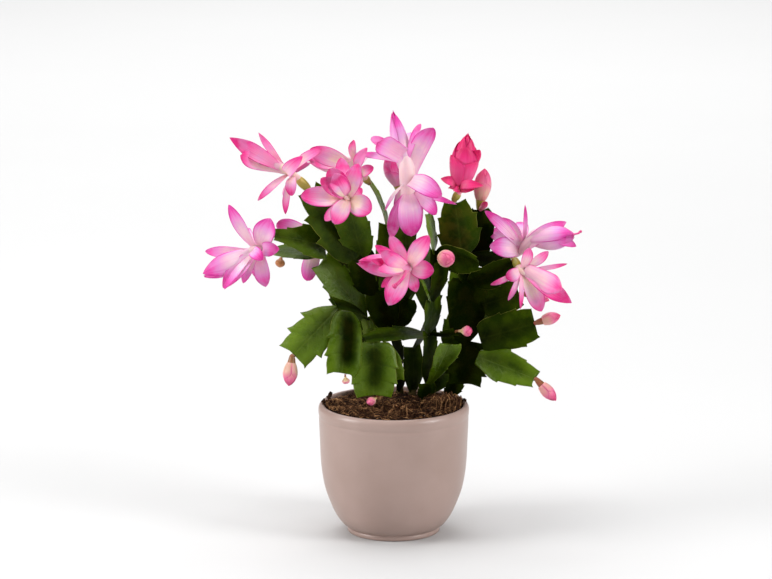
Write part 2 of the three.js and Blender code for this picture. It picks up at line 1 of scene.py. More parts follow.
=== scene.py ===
"""A christmas cactus in bloom in a round glazed pot: finished surfaces and finishes for every piece."""

import math
import random

import bmesh
import bpy
from mathutils import Matrix, Vector, noise


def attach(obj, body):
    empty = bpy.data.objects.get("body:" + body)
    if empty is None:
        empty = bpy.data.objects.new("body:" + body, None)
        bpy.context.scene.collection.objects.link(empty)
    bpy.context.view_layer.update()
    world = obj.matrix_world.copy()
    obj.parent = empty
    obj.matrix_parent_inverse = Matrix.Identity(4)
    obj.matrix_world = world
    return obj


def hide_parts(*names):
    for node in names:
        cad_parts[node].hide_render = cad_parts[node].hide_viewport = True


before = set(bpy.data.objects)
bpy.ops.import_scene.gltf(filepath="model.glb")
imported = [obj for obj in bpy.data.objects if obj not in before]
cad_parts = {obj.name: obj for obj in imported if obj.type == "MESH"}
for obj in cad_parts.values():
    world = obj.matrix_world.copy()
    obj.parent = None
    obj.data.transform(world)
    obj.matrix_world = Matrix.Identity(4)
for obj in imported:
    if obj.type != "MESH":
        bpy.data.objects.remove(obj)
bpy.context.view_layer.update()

MM = 0.001

# Driving sizes, in millimetres, the same as the solids'
POT_HEIGHT = 105
POT_RADIUS = 60.4
FOOT_RADIUS = 37.2
WALL = 4.6
FLOOR = 9  # thickness of the pot's floor
SOIL_EDGE = 99  # height of the soil at the wall
SOIL_CROWN = 4  # how much higher it is in the middle
GAP = 0.35  # between solids that touch
COLLAR_RADIUS = 3.4  # of a stem where it stands in the soil
COLLAR_FOOT = 80
COLLAR_TOP = 109
RIB = 2.4  # thickness of a segment along its middle
SEAT = 0.94  # share of a segment's length where its rib ends, in the notch of the tip
SUNK = 0.88  # share of a segment's length where the next one starts

# Where the viewer stands who sees the plant from the front
EYE = Vector((-6, -3200, 894)) * MM


def at(across, up, behind):
    """A place as it appears in the upright plane through the pot's axis, and how far behind it that is."""
    in_plane = Vector((across, 0, up)) * MM
    return EYE.lerp(in_plane, (behind * MM - EYE.y) / -EYE.y)


def smooth(low, high, value):
    """0 below low, 1 above high, and a soft step between."""
    share = min(max((value - low) / (high - low), 0), 1)
    return share * share * (3 - 2 * share)


def rounded(table, share):
    """A curve through (share, value) pairs that bends evenly at each of them."""
    last = len(table) - 1
    i = max(k for k in range(last) if table[k][0] <= share or k == 0)
    (a, first), (b, second) = table[i], table[i + 1]
    t = (share - a) / (b - a)

    def slope(k):
        low, high = max(k - 1, 0), min(k + 1, last)
        return (table[high][1] - table[low][1]) / (table[high][0] - table[low][0]) * (b - a)

    return (
        first * (2 * t**3 - 3 * t**2 + 1)
        + second * (3 * t**2 - 2 * t**3)
        + slope(i) * (t**3 - 2 * t**2 + t)
        + slope(i + 1) * (t**3 - t**2)
    )


def tables_through(points):
    """One table of (share, value) pairs for each coordinate of some points, evenly spaced."""
    last = len(points) - 1
    return [[(k / last, point[axis]) for k, point in enumerate(points)] for axis in range(len(points[0]))]


def softened(points, parts):
    """More points along a profile, on a curve that bends evenly at each given point."""
    tables, steps = tables_through(points), (len(points) - 1) * parts
    return [tuple(rounded(table, k / steps) for table in tables) for k in range(steps + 1)]


def square_to(along, direction):
    """The part of a direction that is square to along, made 1 long."""
    return (direction - along * direction.dot(along)).normalized()


def spoke(first, second, angle):
    """The direction at an angle from first towards second."""
    return first * math.cos(angle) + second * math.sin(angle)


class Line:
    """A curved middle line from foot to tip, pushed sideways in its middle by a share of its length."""

    def __init__(self, foot, tip, face, bend):
        run = tip - foot
        along = run.normalized()
        normal = square_to(along, face)
        self.foot, self.tip = foot, tip
        self.across = along.cross(normal)
        self.middle = foot.lerp(tip, 0.5) + normal * (2 * bend * run.length)

    def point(self, u):
        return self.foot * (1 - u) ** 2 + self.middle * (2 * u * (1 - u)) + self.tip * u**2

    def along(self, u):
        return ((self.middle - self.foot) * (1 - u) + (self.tip - self.middle) * u).normalized()

    def face(self, u):
        return self.across.cross(self.along(u)).normalized()


# Skins: every blade, petal, tube and bud is a grid wrapped round a section


def new_skins():
    """An empty mesh whose points each carry a mark: place across from -1 to 1, place along, and tone."""
    bm = bmesh.new()
    bm.verts.layers.float_vector.new("blade")
    return bm


def join(bm, part):
    """Moves a small mesh into a larger one."""
    mesh = bpy.data.meshes.new("part")
    part.to_mesh(mesh)
    part.free()
    bm.from_mesh(mesh)
    bpy.data.meshes.remove(mesh)


def skin(bm, around, rows, place, material=0):
    """Adds a closed skin. place(turn, share) gives the point and its mark, with turn from 0 to 1 round the
    section and share from 0 to 1 along the rows."""
    part = new_skins()
    layer = part.verts.layers.float_vector["blade"]
    bmesh.ops.create_grid(part, x_segments=around, y_segments=rows, size=1)
    for vert in part.verts:
        vert.co, vert[layer] = place((vert.co.x + 1) / 2, (vert.co.y + 1) / 2)
    bmesh.ops.remove_doubles(part, verts=part.verts, dist=2e-6)
    open_edges = [edge for edge in part.edges if edge.is_boundary]
    bmesh.ops.holes_fill(part, edges=open_edges, sides=0)
    bmesh.ops.recalc_face_normals(part, faces=part.faces)
    for face in part.faces:
        face.material_index = material
    join(bm, part)


def tube(bm, points, radii, around, rows, tone, marks=(0, 1), material=0):
    """A smooth round body through points, with a radius at each. marks is its range of places along."""
    axes = tables_through(points)
    widths = tables_through([(radius,) for radius in radii])[0]

    def middle(share):
        return Vector([rounded(axis, share) for axis in axes])

    rings = []
    first = None
    for row in range(rows + 1):
        share = row / rows
        along = (middle(min(share + 0.01, 1)) - middle(max(share - 0.01, 0))).normalized()
        first = square_to(along, first or along.orthogonal())
        rings.append((middle(share), first, along.cross(first), max(rounded(widths, share), 1e-5)))

    def place(turn, share):
        centre, first, second, radius = rings[round(share * rows)]
        angle = math.tau * turn
        mark = Vector((0.4 * math.sin(angle), marks[0] + (marks[1] - marks[0]) * share, tone))
        return centre + spoke(first, second, angle) * radius, mark

    skin(bm, around, rows, place, material)


def piece(name, bm, materials, solid):
    """Makes the object of a piece, smooth, riding on the body, in the place of its solid."""
    mesh = bpy.data.meshes.new(name)
    for face in bm.faces:
        face.smooth = True
    bm.to_mesh(mesh)
    bm.free()
    made = bpy.data.objects.new(name, mesh)
    bpy.context.scene.collection.objects.link(made)
    for material in materials:
        mesh.materials.append(material)
    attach(made, "root")
    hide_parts(solid)


def named(kind, solid):
    """The name of a piece: its kind, and the solid's name after its first word."""
    return kind + "_" + solid.split("_", 1)[1]


# Finishes


def node(tree, kind, inputs=None, **settings):
    """A shader node with its settings, and its inputs as numbers, colours or the sockets that feed them."""
    made = tree.nodes.new(kind)
    for name, value in settings.items():
        setattr(made, name, value)
    for name, value in (inputs or {}).items():
        if isinstance(value, bpy.types.NodeSocket):
            tree.links.new(value, made.inputs[name])
        else:
            made.inputs[name].default_value = value
    return made


def math_node(tree, operation, a, b=0.0, c=0.0):
    """One step of arithmetic on numbers or sockets."""
    return node(tree, "ShaderNodeMath", {0: a, 1: b, 2: c}, operation=operation).outputs[0]


def times(tree, a, b, more=0.0):
    """a times b, plus more."""
    return math_node(tree, "MULTIPLY_ADD", a, b, more)


def plus(tree, a, b):
    """a plus b."""
    return math_node(tree, "ADD", a, b)


def ranged(tree, value, low, high, to_low=0.0, to_high=1.0, kind="SMOOTHSTEP"):
    """Turns the range low to high of a value into to_low to to_high."""
    inputs = {"Value": value, "From Min": low, "From Max": high, "To Min": to_low, "To Max": to_high}
    return node(tree, "ShaderNodeMapRange", inputs, interpolation_type=kind).outputs["Result"]


def blend(tree, factor, first, second):
    """Mixes two colours, each a socket or its red, green and blue."""
    inputs = {0: factor}
    for place, colour in ((6, first), (7, second)):
        inputs[place] = colour if isinstance(colour, bpy.types.NodeSocket) else (*colour, 1)
    return node(tree, "ShaderNodeMix", inputs, data_type="RGBA", clamp_factor=True).outputs[2]


def shades(tree, value, stops):
    """A colour ramp through (place, colour) stops."""
    made = node(tree, "ShaderNodeValToRGB", {"Fac": value})
    ramp = made.color_ramp
    while len(ramp.elements) < len(stops):
        ramp.elements.new(0.5)
    for element, (place, colour) in zip(ramp.elements, stops):
        element.position, element.color = place, (*colour, 1)
    return made.outputs["Color"]


def new_group(name, takes, gives):
    """A node group with named inputs and outputs. Returns its tree, its input node and its output node."""
    tree = bpy.data.node_groups.new(name, "ShaderNodeTree")
    for socket, kind, value in takes:
        made = tree.interface.new_socket(name=socket, in_out="INPUT", socket_type=kind)
        if value is not None:
            made.default_value = value
    for socket, kind in gives:
        tree.interface.new_socket(name=socket, in_out="OUTPUT", socket_type=kind)
    return tree, tree.nodes.new("NodeGroupInput"), tree.nodes.new("NodeGroupOutput")


def use(tree, group, inputs):
    """Places a node group in a material."""
    return node(tree, "ShaderNodeGroup", inputs, node_tree=group).outputs


def finish_of(name, roughness, specular, subsurface=None, coat=None):
    """A new material. Returns it with its tree and its shader."""
    material = bpy.data.materials.new(name)
    material.use_nodes = True
    shader = material.node_tree.nodes["Principled BSDF"]
    values = {"Roughness": roughness, "Specular IOR Level": specular}
    if subsurface:
        values.update(zip(("Subsurface Weight", "Subsurface Radius", "Subsurface Scale"), subsurface))
    if coat:
        values.update(zip(("Coat Weight", "Coat Roughness"), coat))
    for socket, value in values.items():
        shader.inputs[socket].default_value = value
    return material, material.node_tree, shader


def feed(tree, shader, colour, height, strength, distance):
    """Feeds the shader its colour, and its normal from a height in shares of distance metres."""
    bump = node(tree, "ShaderNodeBump", {"Height": height, "Strength": strength, "Distance": distance})
    tree.links.new(colour, shader.inputs["Base Color"])
    tree.links.new(bump.outputs["Normal"], shader.inputs["Normal"])


def mottle_group():
    """Soft uneven patches and fine speckles over a surface, from the piece's own coordinates."""
    takes = [("Patch Size", "NodeSocketFloat", 12.0), ("Speckle Size", "NodeSocketFloat", 0.6)]
    gives = [("Patches", "NodeSocketFloat"), ("Speckles", "NodeSocketFloat")]
    tree, took, gave = new_group("mottle", takes, gives)
    place = node(tree, "ShaderNodeTexCoord").outputs["Object"]
    for size, output, detail in (("Patch Size", "Patches", 3.0), ("Speckle Size", "Speckles", 1.0)):
        scale = math_node(tree, "DIVIDE", 1000.0, took.outputs[size])
        made = node(tree, "ShaderNodeTexNoise", {"Vector": place, "Scale": scale, "Detail": detail})
        tree.links.new(made.outputs["Fac"], gave.inputs[output])
    return tree


def vein_group():
    """Fine veins that run along a petal, from its marks. Streaks is 0 to 1 over the surface."""
    takes = [
        ("Marks", "NodeSocketVector", None), ("Lines", "NodeSocketFloat", 9.0),
        ("Stretch", "NodeSocketFloat", 1.5),
    ]
    tree, took, gave = new_group("veins", takes, [("Streaks", "NodeSocketFloat")])
    marks = node(tree, "ShaderNodeSeparateXYZ", {0: took.outputs["Marks"]}).outputs
    across = times(tree, marks["X"], took.outputs["Lines"])
    along = times(tree, marks["Y"], took.outputs["Stretch"])
    tone = times(tree, marks["Z"], 37.0)
    vector = node(tree, "ShaderNodeCombineXYZ", {"X": across, "Y": along, "Z": tone}).outputs[0]
    made = node(tree, "ShaderNodeTexNoise", {"Vector": vector, "Scale": 1.0, "Detail": 2.0})
    tree.links.new(ranged(tree, made.outputs["Fac"], 0.3, 0.7), gave.inputs["Streaks"])
    return tree


MOTTLE = mottle_group()
VEINS = vein_group()


def mottled(tree, patch, speckle):
    """Patches and speckles of the given sizes in millimetres."""
    return use(tree, MOTTLE, {"Patch Size": patch, "Speckle Size": speckle})


def marks_of(tree):
    """A surface's marks together, then how far from the middle it is, the place along, and the tone."""
    marks = node(tree, "ShaderNodeAttribute", attribute_name="blade").outputs["Vector"]
    parts = node(tree, "ShaderNodeSeparateXYZ", {0: marks}).outputs
    return marks, math_node(tree, "ABSOLUTE", parts["X"]), parts["Y"], parts["Z"]


GREENS = [
    (0.0, (0.003, 0.0065, 0.0004)), (0.2, (0.013, 0.027, 0.0008)), (0.4, (0.042, 0.08, 0.0012)),
    (0.6, (0.084, 0.152, 0.004)), (0.8, (0.134, 0.225, 0.01)), (1.0, (0.2, 0.3, 0.03)),
]
RUSTY = (0.07, 0.035, 0.006)
LEAF_LINES = (0.13, 0.19, 0.02)
LEAF_MARGIN_AND_GLINT = (0.24, 0.25, 0.05)
LEAF_SPECKS = (0.12, 0.16, 0.03)
CORK = ((0.03, 0.024, 0.006), (0.09, 0.07, 0.028))
OLD_SHEEN, YOUNG_SHEEN = (0.7, 0.95, 0.35), (0.96, 1.0, 0.8)


def leaf_finish(name, rust):
    """Waxy green skin, darker on old segments, with faint veins and rib, a pale margin, and cork at the foot.
    Some of its light and shade is painted: darker towards each segment's foot and along its rib, and a margin
    that is partly a painted highlight. tone is -1 on corky wood, 0 on old dark segments and 1 on young ones;
    it also darkens segments deep inside the plant as painted shade and lightens lit ones as painted light.
    rust is how brown it turns."""
    material, tree, shader = finish_of(name, 0.4, 0.4, subsurface=(0.03, (0.3, 0.6, 0.05), 0.001))
    _, aside, along, tone = marks_of(tree)
    mottle = mottled(tree, 11.0, 0.5)
    patches = ranged(tree, mottle["Patches"], 0.35, 0.65)
    green = times(tree, patches, 0.1, plus(tree, tone, -0.05))
    # Painted light and shade: darker towards each segment's foot and lighter towards its tip.
    green = plus(tree, green, ranged(tree, along, 0.0, 1.0, -0.1, 0.06, kind="LINEAR"))
    # Painted shade: darker along the rib, where the valley of a folded segment lies in shade.
    green = plus(tree, green, ranged(tree, aside, 0.05, 0.75, -0.1, 0.05))
    colour = shades(tree, green, GREENS)
    colour = blend(tree, ranged(tree, mottle["Patches"], 0.36, 0.62, 0.0, rust), colour, RUSTY)
    # Side veins leave the rib obliquely, towards the notches
    wave = math_node(tree, "SINE", times(tree, times(tree, aside, -0.3, along), 19.5))
    vein = times(tree, ranged(tree, wave, 0.86, 1.0), ranged(tree, aside, 0.1, 0.8, 1.0, 0.2))
    rib = ranged(tree, aside, 0.0, 0.08, 1.0, 0.0)
    lines = math_node(tree, "MAXIMUM", times(tree, vein, 0.25), times(tree, rib, 0.45))
    lines = times(tree, lines, ranged(tree, tone, 0.05, 0.6, 0.0, 0.4))
    colour = blend(tree, lines, colour, LEAF_LINES)
    # The pale margin is partly the skin's own colour and partly a painted highlight, where the thin edge
    # catches the light.
    uneven = ranged(tree, mottle["Patches"], 0.3, 0.6, 0.3, 1.0)
    edge = times(tree, ranged(tree, aside, 0.955, 1.0, 0.0, 0.8), uneven)
    edge = times(tree, edge, ranged(tree, tone, 0.0, 0.2, 0.12, 1.0))
    colour = blend(tree, edge, colour, LEAF_MARGIN_AND_GLINT)
    speckle = ranged(tree, mottle["Speckles"], 0.66, 0.76, 0.0, 0.4)
    colour = blend(tree, times(tree, speckle, ranged(tree, tone, 0, 0.5, 0.1, 1.0)), colour, LEAF_SPECKS)
    woody = ranged(tree, tone, -0.7, -0.1, 1.0, 0.0)
    colour = blend(tree, woody, colour, blend(tree, patches, *CORK))
    tree.links.new(ranged(tree, tone, 0.08, 0.65, 0.004, 0.34), shader.inputs["Specular IOR Level"])
    tint = blend(tree, ranged(tree, tone, 0.35, 0.6), OLD_SHEEN, YOUNG_SHEEN)
    tree.links.new(tint, shader.inputs["Specular Tint"])
    rough = times(tree, mottle["Patches"], 0.3, ranged(tree, tone, 0.0, 0.4, 0.4, 0.14))
    tree.links.new(math_node(tree, "MAXIMUM", rough, times(tree, woody, 0.8)), shader.inputs["Roughness"])
    height = times(tree, mottle["Speckles"], 0.3, times(tree, lines, -2.0))
    height = times(tree, mottle["Patches"], 2.4, height)
    feed(tree, shader, colour, height, 0.7, 0.0008)
    return material


LILAC_HAZE = (0.64, 0.37, 0.65)


def petal_finish(name, stops, lilac):
    """Petal skin: pale at the root, pink along the edges and at the tip, with fine veins. tone moves it from
    pale, at 0, to deep, at 1."""
    material, tree, shader = finish_of(name, 0.42, 0.35, subsurface=(0.28, (1.0, 0.45, 0.55), 0.0016))
    marks, aside, along, tone = marks_of(tree)
    streaks = use(tree, VEINS, {"Marks": marks, "Lines": 7.0, "Stretch": 1.3})["Streaks"]
    mottle = mottled(tree, 9.0, 0.35)
    tip = ranged(tree, along, 0.44, 1.04, 0.0, 0.8)
    edge = times(tree, math_node(tree, "POWER", aside, 4.5), ranged(tree, along, 0.1, 0.5, 0.1, 0.36))
    line = times(tree, ranged(tree, aside, 0.87, 0.97, 0.0, 0.5), ranged(tree, along, 0.05, 0.4, 0.3, 1.0))
    deep = plus(tree, plus(tree, tip, edge), plus(tree, line, -0.14))
    deep = times(tree, streaks, 0.13, deep)
    deep = times(tree, mottle["Patches"], 0.2, deep)
    deep = times(tree, tone, 0.55, deep)
    colour = shades(tree, deep, stops)
    haze = ranged(tree, mottle["Patches"], 0.42, 0.68, 0.0, lilac)
    colour = blend(tree, times(tree, haze, ranged(tree, along, 0.2, 0.55)), colour, LILAC_HAZE)
    feed(tree, shader, colour, times(tree, mottle["Speckles"], 0.3, streaks), 0.35, 0.0003)
    return material


PINKS = [
    (0.0, (0.88, 0.66, 0.52)), (0.1, (0.88, 0.6, 0.59)), (0.28, (0.87, 0.39, 0.56)),
    (0.5, (0.9, 0.21, 0.47)), (0.75, (0.87, 0.055, 0.31)), (1.0, (0.66, 0.012, 0.19)),
]
LILACS = [
    (0.0, (0.88, 0.64, 0.65)), (0.1, (0.86, 0.57, 0.65)), (0.28, (0.81, 0.4, 0.6)),
    (0.5, (0.8, 0.24, 0.58)), (0.75, (0.78, 0.07, 0.4)), (1.0, (0.58, 0.012, 0.24)),
]
REDS = [
    (0.0, (0.8, 0.4, 0.4)), (0.15, (0.84, 0.22, 0.34)), (0.4, (0.86, 0.07, 0.25)),
    (0.7, (0.84, 0.022, 0.19)), (1.0, (0.66, 0.01, 0.12)),
]
TANS = [
    (0.0, (0.3, 0.13, 0.035)), (0.3, (0.42, 0.17, 0.06)), (0.7, (0.5, 0.22, 0.1)), (1.0, (0.34, 0.1, 0.05)),
]
SALMONS = [
    (0.0, (0.7, 0.48, 0.2)), (0.12, (0.82, 0.48, 0.34)), (0.3, (0.86, 0.3, 0.32)),
    (0.55, (0.86, 0.17, 0.32)), (1.0, (0.62, 0.03, 0.15)),
]
OVARY_SHADES = [
    (0.0, (0.3, 0.12, 0.04)), (0.2, (0.26, 0.19, 0.03)), (0.6, (0.38, 0.32, 0.04)), (1.0, (0.55, 0.44, 0.1)),
]
OVARY_RIPE, OVARY_PATCHES = (0.27, 0.06, 0.03), (0.14, 0.15, 0.02)
STYLE_SHADES = [(0.0, (0.8, 0.25, 0.45)), (0.5, (0.72, 0.05, 0.26)), (1.0, (0.56, 0.012, 0.14))]
STYLE_PATCHES = (0.85, 0.2, 0.42)


def ovary_finish():
    """Smooth green ovary, yellower towards the flower and brownish at its seat."""
    material, tree, shader = finish_of("ovary_green", 0.38, 0.5, subsurface=(0.1, (0.6, 0.5, 0.1), 0.001))
    _, _, along, tone = marks_of(tree)
    mottle = mottled(tree, 3.0, 0.4)
    colour = shades(tree, along, OVARY_SHADES)
    colour = blend(tree, ranged(tree, tone, 0.2, 1.0), colour, OVARY_RIPE)
    colour = blend(tree, ranged(tree, mottle["Patches"], 0.4, 0.7, 0.0, 0.35), colour, OVARY_PATCHES)
    feed(tree, shader, colour, mottle["Speckles"], 0.2, 0.0003)
    return material


def style_finish():
    """The deep pink style that stands out of an open flower."""
    material, tree, shader = finish_of("style_magenta", 0.35, 0.5)
    _, _, along, _ = marks_of(tree)
    mottle = mottled(tree, 2.0, 0.3)
    patches = ranged(tree, mottle["Patches"], 0.4, 0.7, 0.0, 0.3)
    colour = blend(tree, patches, shades(tree, along, STYLE_SHADES), STYLE_PATCHES)
    feed(tree, shader, colour, mottle["Speckles"], 0.3, 0.0002)
    return material


GLAZE_CLOUDS = ((0.35, 0.243, 0.207), (0.385, 0.272, 0.236))
GLAZE_SPECKS, GLAZE_PITS = (0.22, 0.15, 0.12), (0.22, 0.14, 0.11)


def glaze_finish():
    """Satin glaze, a little uneven, with fine specks and a few pinholes."""
    material, tree, shader = finish_of("satin_glaze", 0.4, 0.5, coat=(0.18, 0.22))
    place = node(tree, "ShaderNodeTexCoord").outputs["Object"]
    mottle = mottled(tree, 45.0, 0.7)
    clouds = ranged(tree, mottle["Patches"], 0.3, 0.7)
    colour = blend(tree, clouds, *GLAZE_CLOUDS)
    colour = blend(tree, ranged(tree, mottle["Speckles"], 0.7, 0.76, 0.0, 0.22), colour, GLAZE_SPECKS)
    cells = node(tree, "ShaderNodeTexVoronoi", {"Vector": place, "Scale": 24.0})
    pits = ranged(tree, cells.outputs["Distance"], 0.012, 0.03, 1.0, 0.0)
    colour = blend(tree, times(tree, pits, 0.5), colour, GLAZE_PITS)
    tree.links.new(times(tree, clouds, 0.1, 0.36), shader.inputs["Roughness"])
    height = times(tree, pits, -3.0, times(tree, mottle["Speckles"], 0.25))
    feed(tree, shader, colour, height, 0.3, 0.0003)
    return material


def soil_finish(name, dark, light, size, rough, strands=False):
    """Compost, bark, fibre or grit: a range of colours that changes over the surface, and with strands also
    from one strand to the next."""
    material, tree, shader = finish_of(name, rough, 0.12)
    mottle = mottled(tree, size, 0.4)
    share = ranged(tree, mottle["Patches"], 0.35, 0.65)
    if strands:
        share = times(tree, share, math_node(tree, "POWER", marks_of(tree)[-1], 2.0))
    hollows = ranged(tree, mottle["Speckles"], 0.5, 0.75, 0.0, 0.6)
    colour = blend(tree, hollows, blend(tree, share, dark, light), [part * 0.4 for part in dark])
    feed(tree, shader, colour, mottle["Speckles"], 0.8, 0.0006)
    return material


LEAF = leaf_finish("stem_green", 0.06)
OLD_LEAF = leaf_finish("stem_rusty", 0.35)
PETAL = petal_finish("petal_pink", PINKS, 0.4)
RED_PETAL = petal_finish("petal_red", REDS, 0.0)
LILAC_PETAL = petal_finish("petal_lilac", LILACS, 0.36)
BUD = petal_finish("bud_salmon", SALMONS, 0.0)
TAN = petal_finish("bud_tan", TANS, 0.0)
OVARY = ovary_finish()
STYLE = style_finish()
GLAZE = glaze_finish()
COMPOST = soil_finish("compost", (0.008, 0.003, 0.0012), (0.028, 0.01, 0.004), 3.0, 0.95)
BARK = soil_finish("bark_bits", (0.01, 0.004, 0.0016), (0.048, 0.019, 0.008), 2.0, 0.85)
FIBRE = soil_finish("coir_fibre", (0.04, 0.011, 0.003), (0.88, 0.46, 0.2), 6.0, 0.7, strands=True)
GRIT = soil_finish("white_grit", (0.5, 0.48, 0.44), (0.75, 0.74, 0.7), 2.0, 0.8)

# Pot


def turned(bm, profile, steps):
    """A closed skin spun from (radius, height) points round the upright axis."""
    verts = [bm.verts.new(Vector((radius, 0, height)) * MM) for radius, height in profile]
    edges = [bm.edges.new(pair) for pair in zip(verts, verts[1:])]
    bmesh.ops.spin(
        bm, geom=verts + edges, cent=(0, 0, 0), axis=(0, 0, 1), dvec=(0, 0, 0),
        angle=math.tau, steps=steps, use_merge=True, use_duplicate=False,
    )
    bmesh.ops.remove_doubles(bm, verts=bm.verts, dist=1e-6)
    bmesh.ops.recalc_face_normals(bm, faces=bm.faces)


# The pot's profile from the middle of its underside round to its floor, as (radius, height) in millimetres
FOOT = [
    (0, 0), (FOOT_RADIUS - 1.6, 0), (FOOT_RADIUS - 0.5, 0.4), (FOOT_RADIUS, 1.3), (FOOT_RADIUS, 2.8),
    (FOOT_RADIUS - 0.3, 3.6), (FOOT_RADIUS - 0.5, 4.1), (FOOT_RADIUS + 0.6, 4.9),
]
BELLY = [
    (38.6, 5.6), (41.5, 7.8), (47, 15.6), (51.8, 26.5), (55.2, 36.5), (57.4, 48), (58.6, 60), (59.2, 74),
    (59.7, 86), (59.95, 93.6),
]
RIM = [
    (59.75, 94.6), (59.8, 95.5), (60.2, 97), (POT_RADIUS, 99.8), (60.1, 102.4), (58.8, POT_HEIGHT - 0.5),
    (57.2, POT_HEIGHT),
]
LIP = [(56.9, POT_HEIGHT), (56.1, POT_HEIGHT - 0.5), (55.7, 103.2), (55.6, 100.5)]
MOUTH = (55.5, 98)
INSIDE = [(54.8, 74), (51, 40), (43, 20), (30, FLOOR + 1)]
AROUND_POT = 144


def make_pot():
    """The glazed pot, one closed skin inside and out."""
    walls = softened(BELLY, 4) + softened(RIM, 4) + softened(LIP, 3) + softened([MOUTH, *INSIDE], 3)
    bm = bmesh.new()
    turned(bm, [*FOOT, *walls, (0, FLOOR)], AROUND_POT)
    piece("glazed_pot", bm, [GLAZE], "pot")


# Soil

AROUND_SOIL = 128
RINGS = 33  # of points on the soil inside its edge
RING_WIDTH = 1.6
BARK_BITS, GRIT_BITS, FIBRES = 330, 9, 1500
IN_BARK, IN_FIBRE, IN_GRIT = 1, 2, 3  # places in the soil's list of materials
# Places of dark crumbs that lean on the rim, in millimetres
RIM_CRUMBS = [
    (-51.5, 22, 106.5), (-52.5, 19, 105), (-56, 9, 105.6), (-55, 6, 104.5), (-56.5, 2, 105.4),
    (-55.5, -4, 104.6), (-54.5, -9, 104.8), (55, 8, 105), (57, 6, 106), (53, 12, 104.5), (54.5, -2, 104.5),
    (50, -22, 104.8),
]
# Where fibres stand up in tufts: place, spread and height in millimetres
TUFTS = [
    ((40, -20), 5, 13), ((6, -28), 11, 7), ((-30, -30), 14, 5), ((-49, 2), 7, 5), ((49, -4), 7, 8),
    ((-10, -12), 12, 5),
]
STANDING = 0.3  # share of the fibres that stand in tufts
BARE = [((24, -4), 10), ((44, 14), 8), ((8, 26), 14)]  # places with no lying fibres, and how far they reach
FIBRE_STEPS = 5


def soil_height(x, y):
    """The soil's height at a place, in millimetres, with soft lumps."""
    far = math.hypot(x, y) / (POT_RADIUS - WALL)
    lumps = 0.7 * math.sin(0.21 * x + 1.1) * math.cos(0.19 * y) + 0.5 * math.sin(0.37 * y - 0.12 * x)
    return SOIL_EDGE + SOIL_CROWN * (1 - far * far) + lumps * (1 - far**4)


def rough_soil(x, y):
    """The same, heaped up in the middle and along the front wall, with the crumb of the surface."""
    crumb = sum(
        height * noise.noise(Vector((x, y, layer)) * fineness)
        for height, layer, fineness in ((2.2, 0, 0.13), (1.6, 5, 0.4), (0.7, 9, 1.0))
    )
    far = math.hypot(x, y)
    heaped = 4.6 * smooth(22, -16, y) * smooth(20, 50, far) + 1.6 * smooth(45, 15, far)
    return soil_height(x, y) + heaped + crumb


def make_soil():
    """The compost down to the pot's floor, with bits of bark, grit and coir fibres on it."""
    bm = bmesh.new()
    edge = POT_RADIUS - WALL - 0.3
    wall = [(radius - GAP, height + GAP) for radius, height in reversed(INSIDE)]
    top = [(edge - RING_WIDTH * k, SOIL_EDGE) for k in range(1, RINGS + 1)]
    turned(bm, [(0, FLOOR + 1 + GAP), *wall, (edge, SOIL_EDGE), *top, (0, SOIL_EDGE)], AROUND_SOIL)
    for vert in bm.verts:
        if vert.co.z > (SOIL_EDGE - 0.01) * MM:
            vert.co.z = rough_soil(vert.co.x / MM, vert.co.y / MM) * MM
    rng = random.Random(7)
    for _ in range(BARK_BITS):
        add_crumb(bm, rng, rng.uniform(0.9, 2.9), IN_BARK)
    for _ in range(GRIT_BITS):
        add_crumb(bm, rng, rng.uniform(0.5, 1.0), IN_GRIT)
    for _ in range(FIBRES):
        add_fibre(bm, rng)
    for spot in RIM_CRUMBS:
        add_crumb(bm, rng, rng.uniform(1.6, 2.8), IN_BARK, Vector(spot))
    piece("compost_and_coir", bm, [COMPOST, BARK, FIBRE, GRIT], "soil")


def somewhere(rng, reach):
    """A place on the soil, evenly over its round surface."""
    far, angle = reach * math.sqrt(rng.random()), rng.uniform(0, math.tau)
    return far * math.cos(angle), far * math.sin(angle)


def add_crumb(bm, rng, size, material, spot=None):
    """A rough lump with a few facets, at a spot or partly sunk in the soil anywhere."""
    if spot is None:
        x, y = somewhere(rng, POT_RADIUS - WALL - size - 0.5)
        spot = Vector((x, y, rough_soil(x, y) + 0.25 * size))
    turn = Matrix.Rotation(rng.uniform(0, 6), 4, Vector((rng.random(), rng.random(), 0.3)).normalized())
    stretch = Matrix.Diagonal((rng.uniform(0.6, 1.5), rng.uniform(0.6, 1.1), rng.uniform(0.4, 0.8), 1))
    part = bmesh.new()
    place = Matrix.Translation(spot * MM) @ turn @ stretch
    bmesh.ops.create_icosphere(part, subdivisions=1, radius=size * MM, matrix=place)
    for vert in part.verts:
        vert.co += Vector([rng.uniform(-0.22, 0.22) * size * MM for _ in range(3)])
    for face in part.faces:
        face.material_index = material
    join(bm, part)


def add_fibre(bm, rng):
    """A thin bent strand that lies on the soil or stands in a tuft."""
    standing = rng.random() < STANDING
    length = rng.uniform(8, 24)
    reach = POT_RADIUS - WALL - 1.5
    if standing:
        (x, y), spread, lift = rng.choice(TUFTS)
        x, y = x + rng.gauss(0, 0.4) * spread, y + rng.gauss(0, 0.4) * spread
    else:
        x, y = somewhere(rng, reach)
        lift = rng.uniform(0.6, 3.4)
        if any(math.hypot(x - place[0], y - place[1]) < size for place, size in BARE):
            return
    angle = rng.uniform(0, math.tau)
    points = []
    for k in range(FIBRE_STEPS + 1):
        far = math.hypot(x, y)
        if far > reach:
            x, y = x * reach / far, y * reach / far
        rise = lift * math.sin(math.pi * min(1.15 * k / FIBRE_STEPS, 1))
        rise *= rng.uniform(0.8, 1) if standing else 1
        points.append(Vector((x, y, rough_soil(x, y) + 0.4 + rise)) * MM)
        x += math.cos(angle) * length / FIBRE_STEPS
        y += math.sin(angle) * length / FIBRE_STEPS
        angle += rng.uniform(-0.7, 0.7)
    strand(bm, points, rng.uniform(0.12, 0.3) * MM, rng.random())


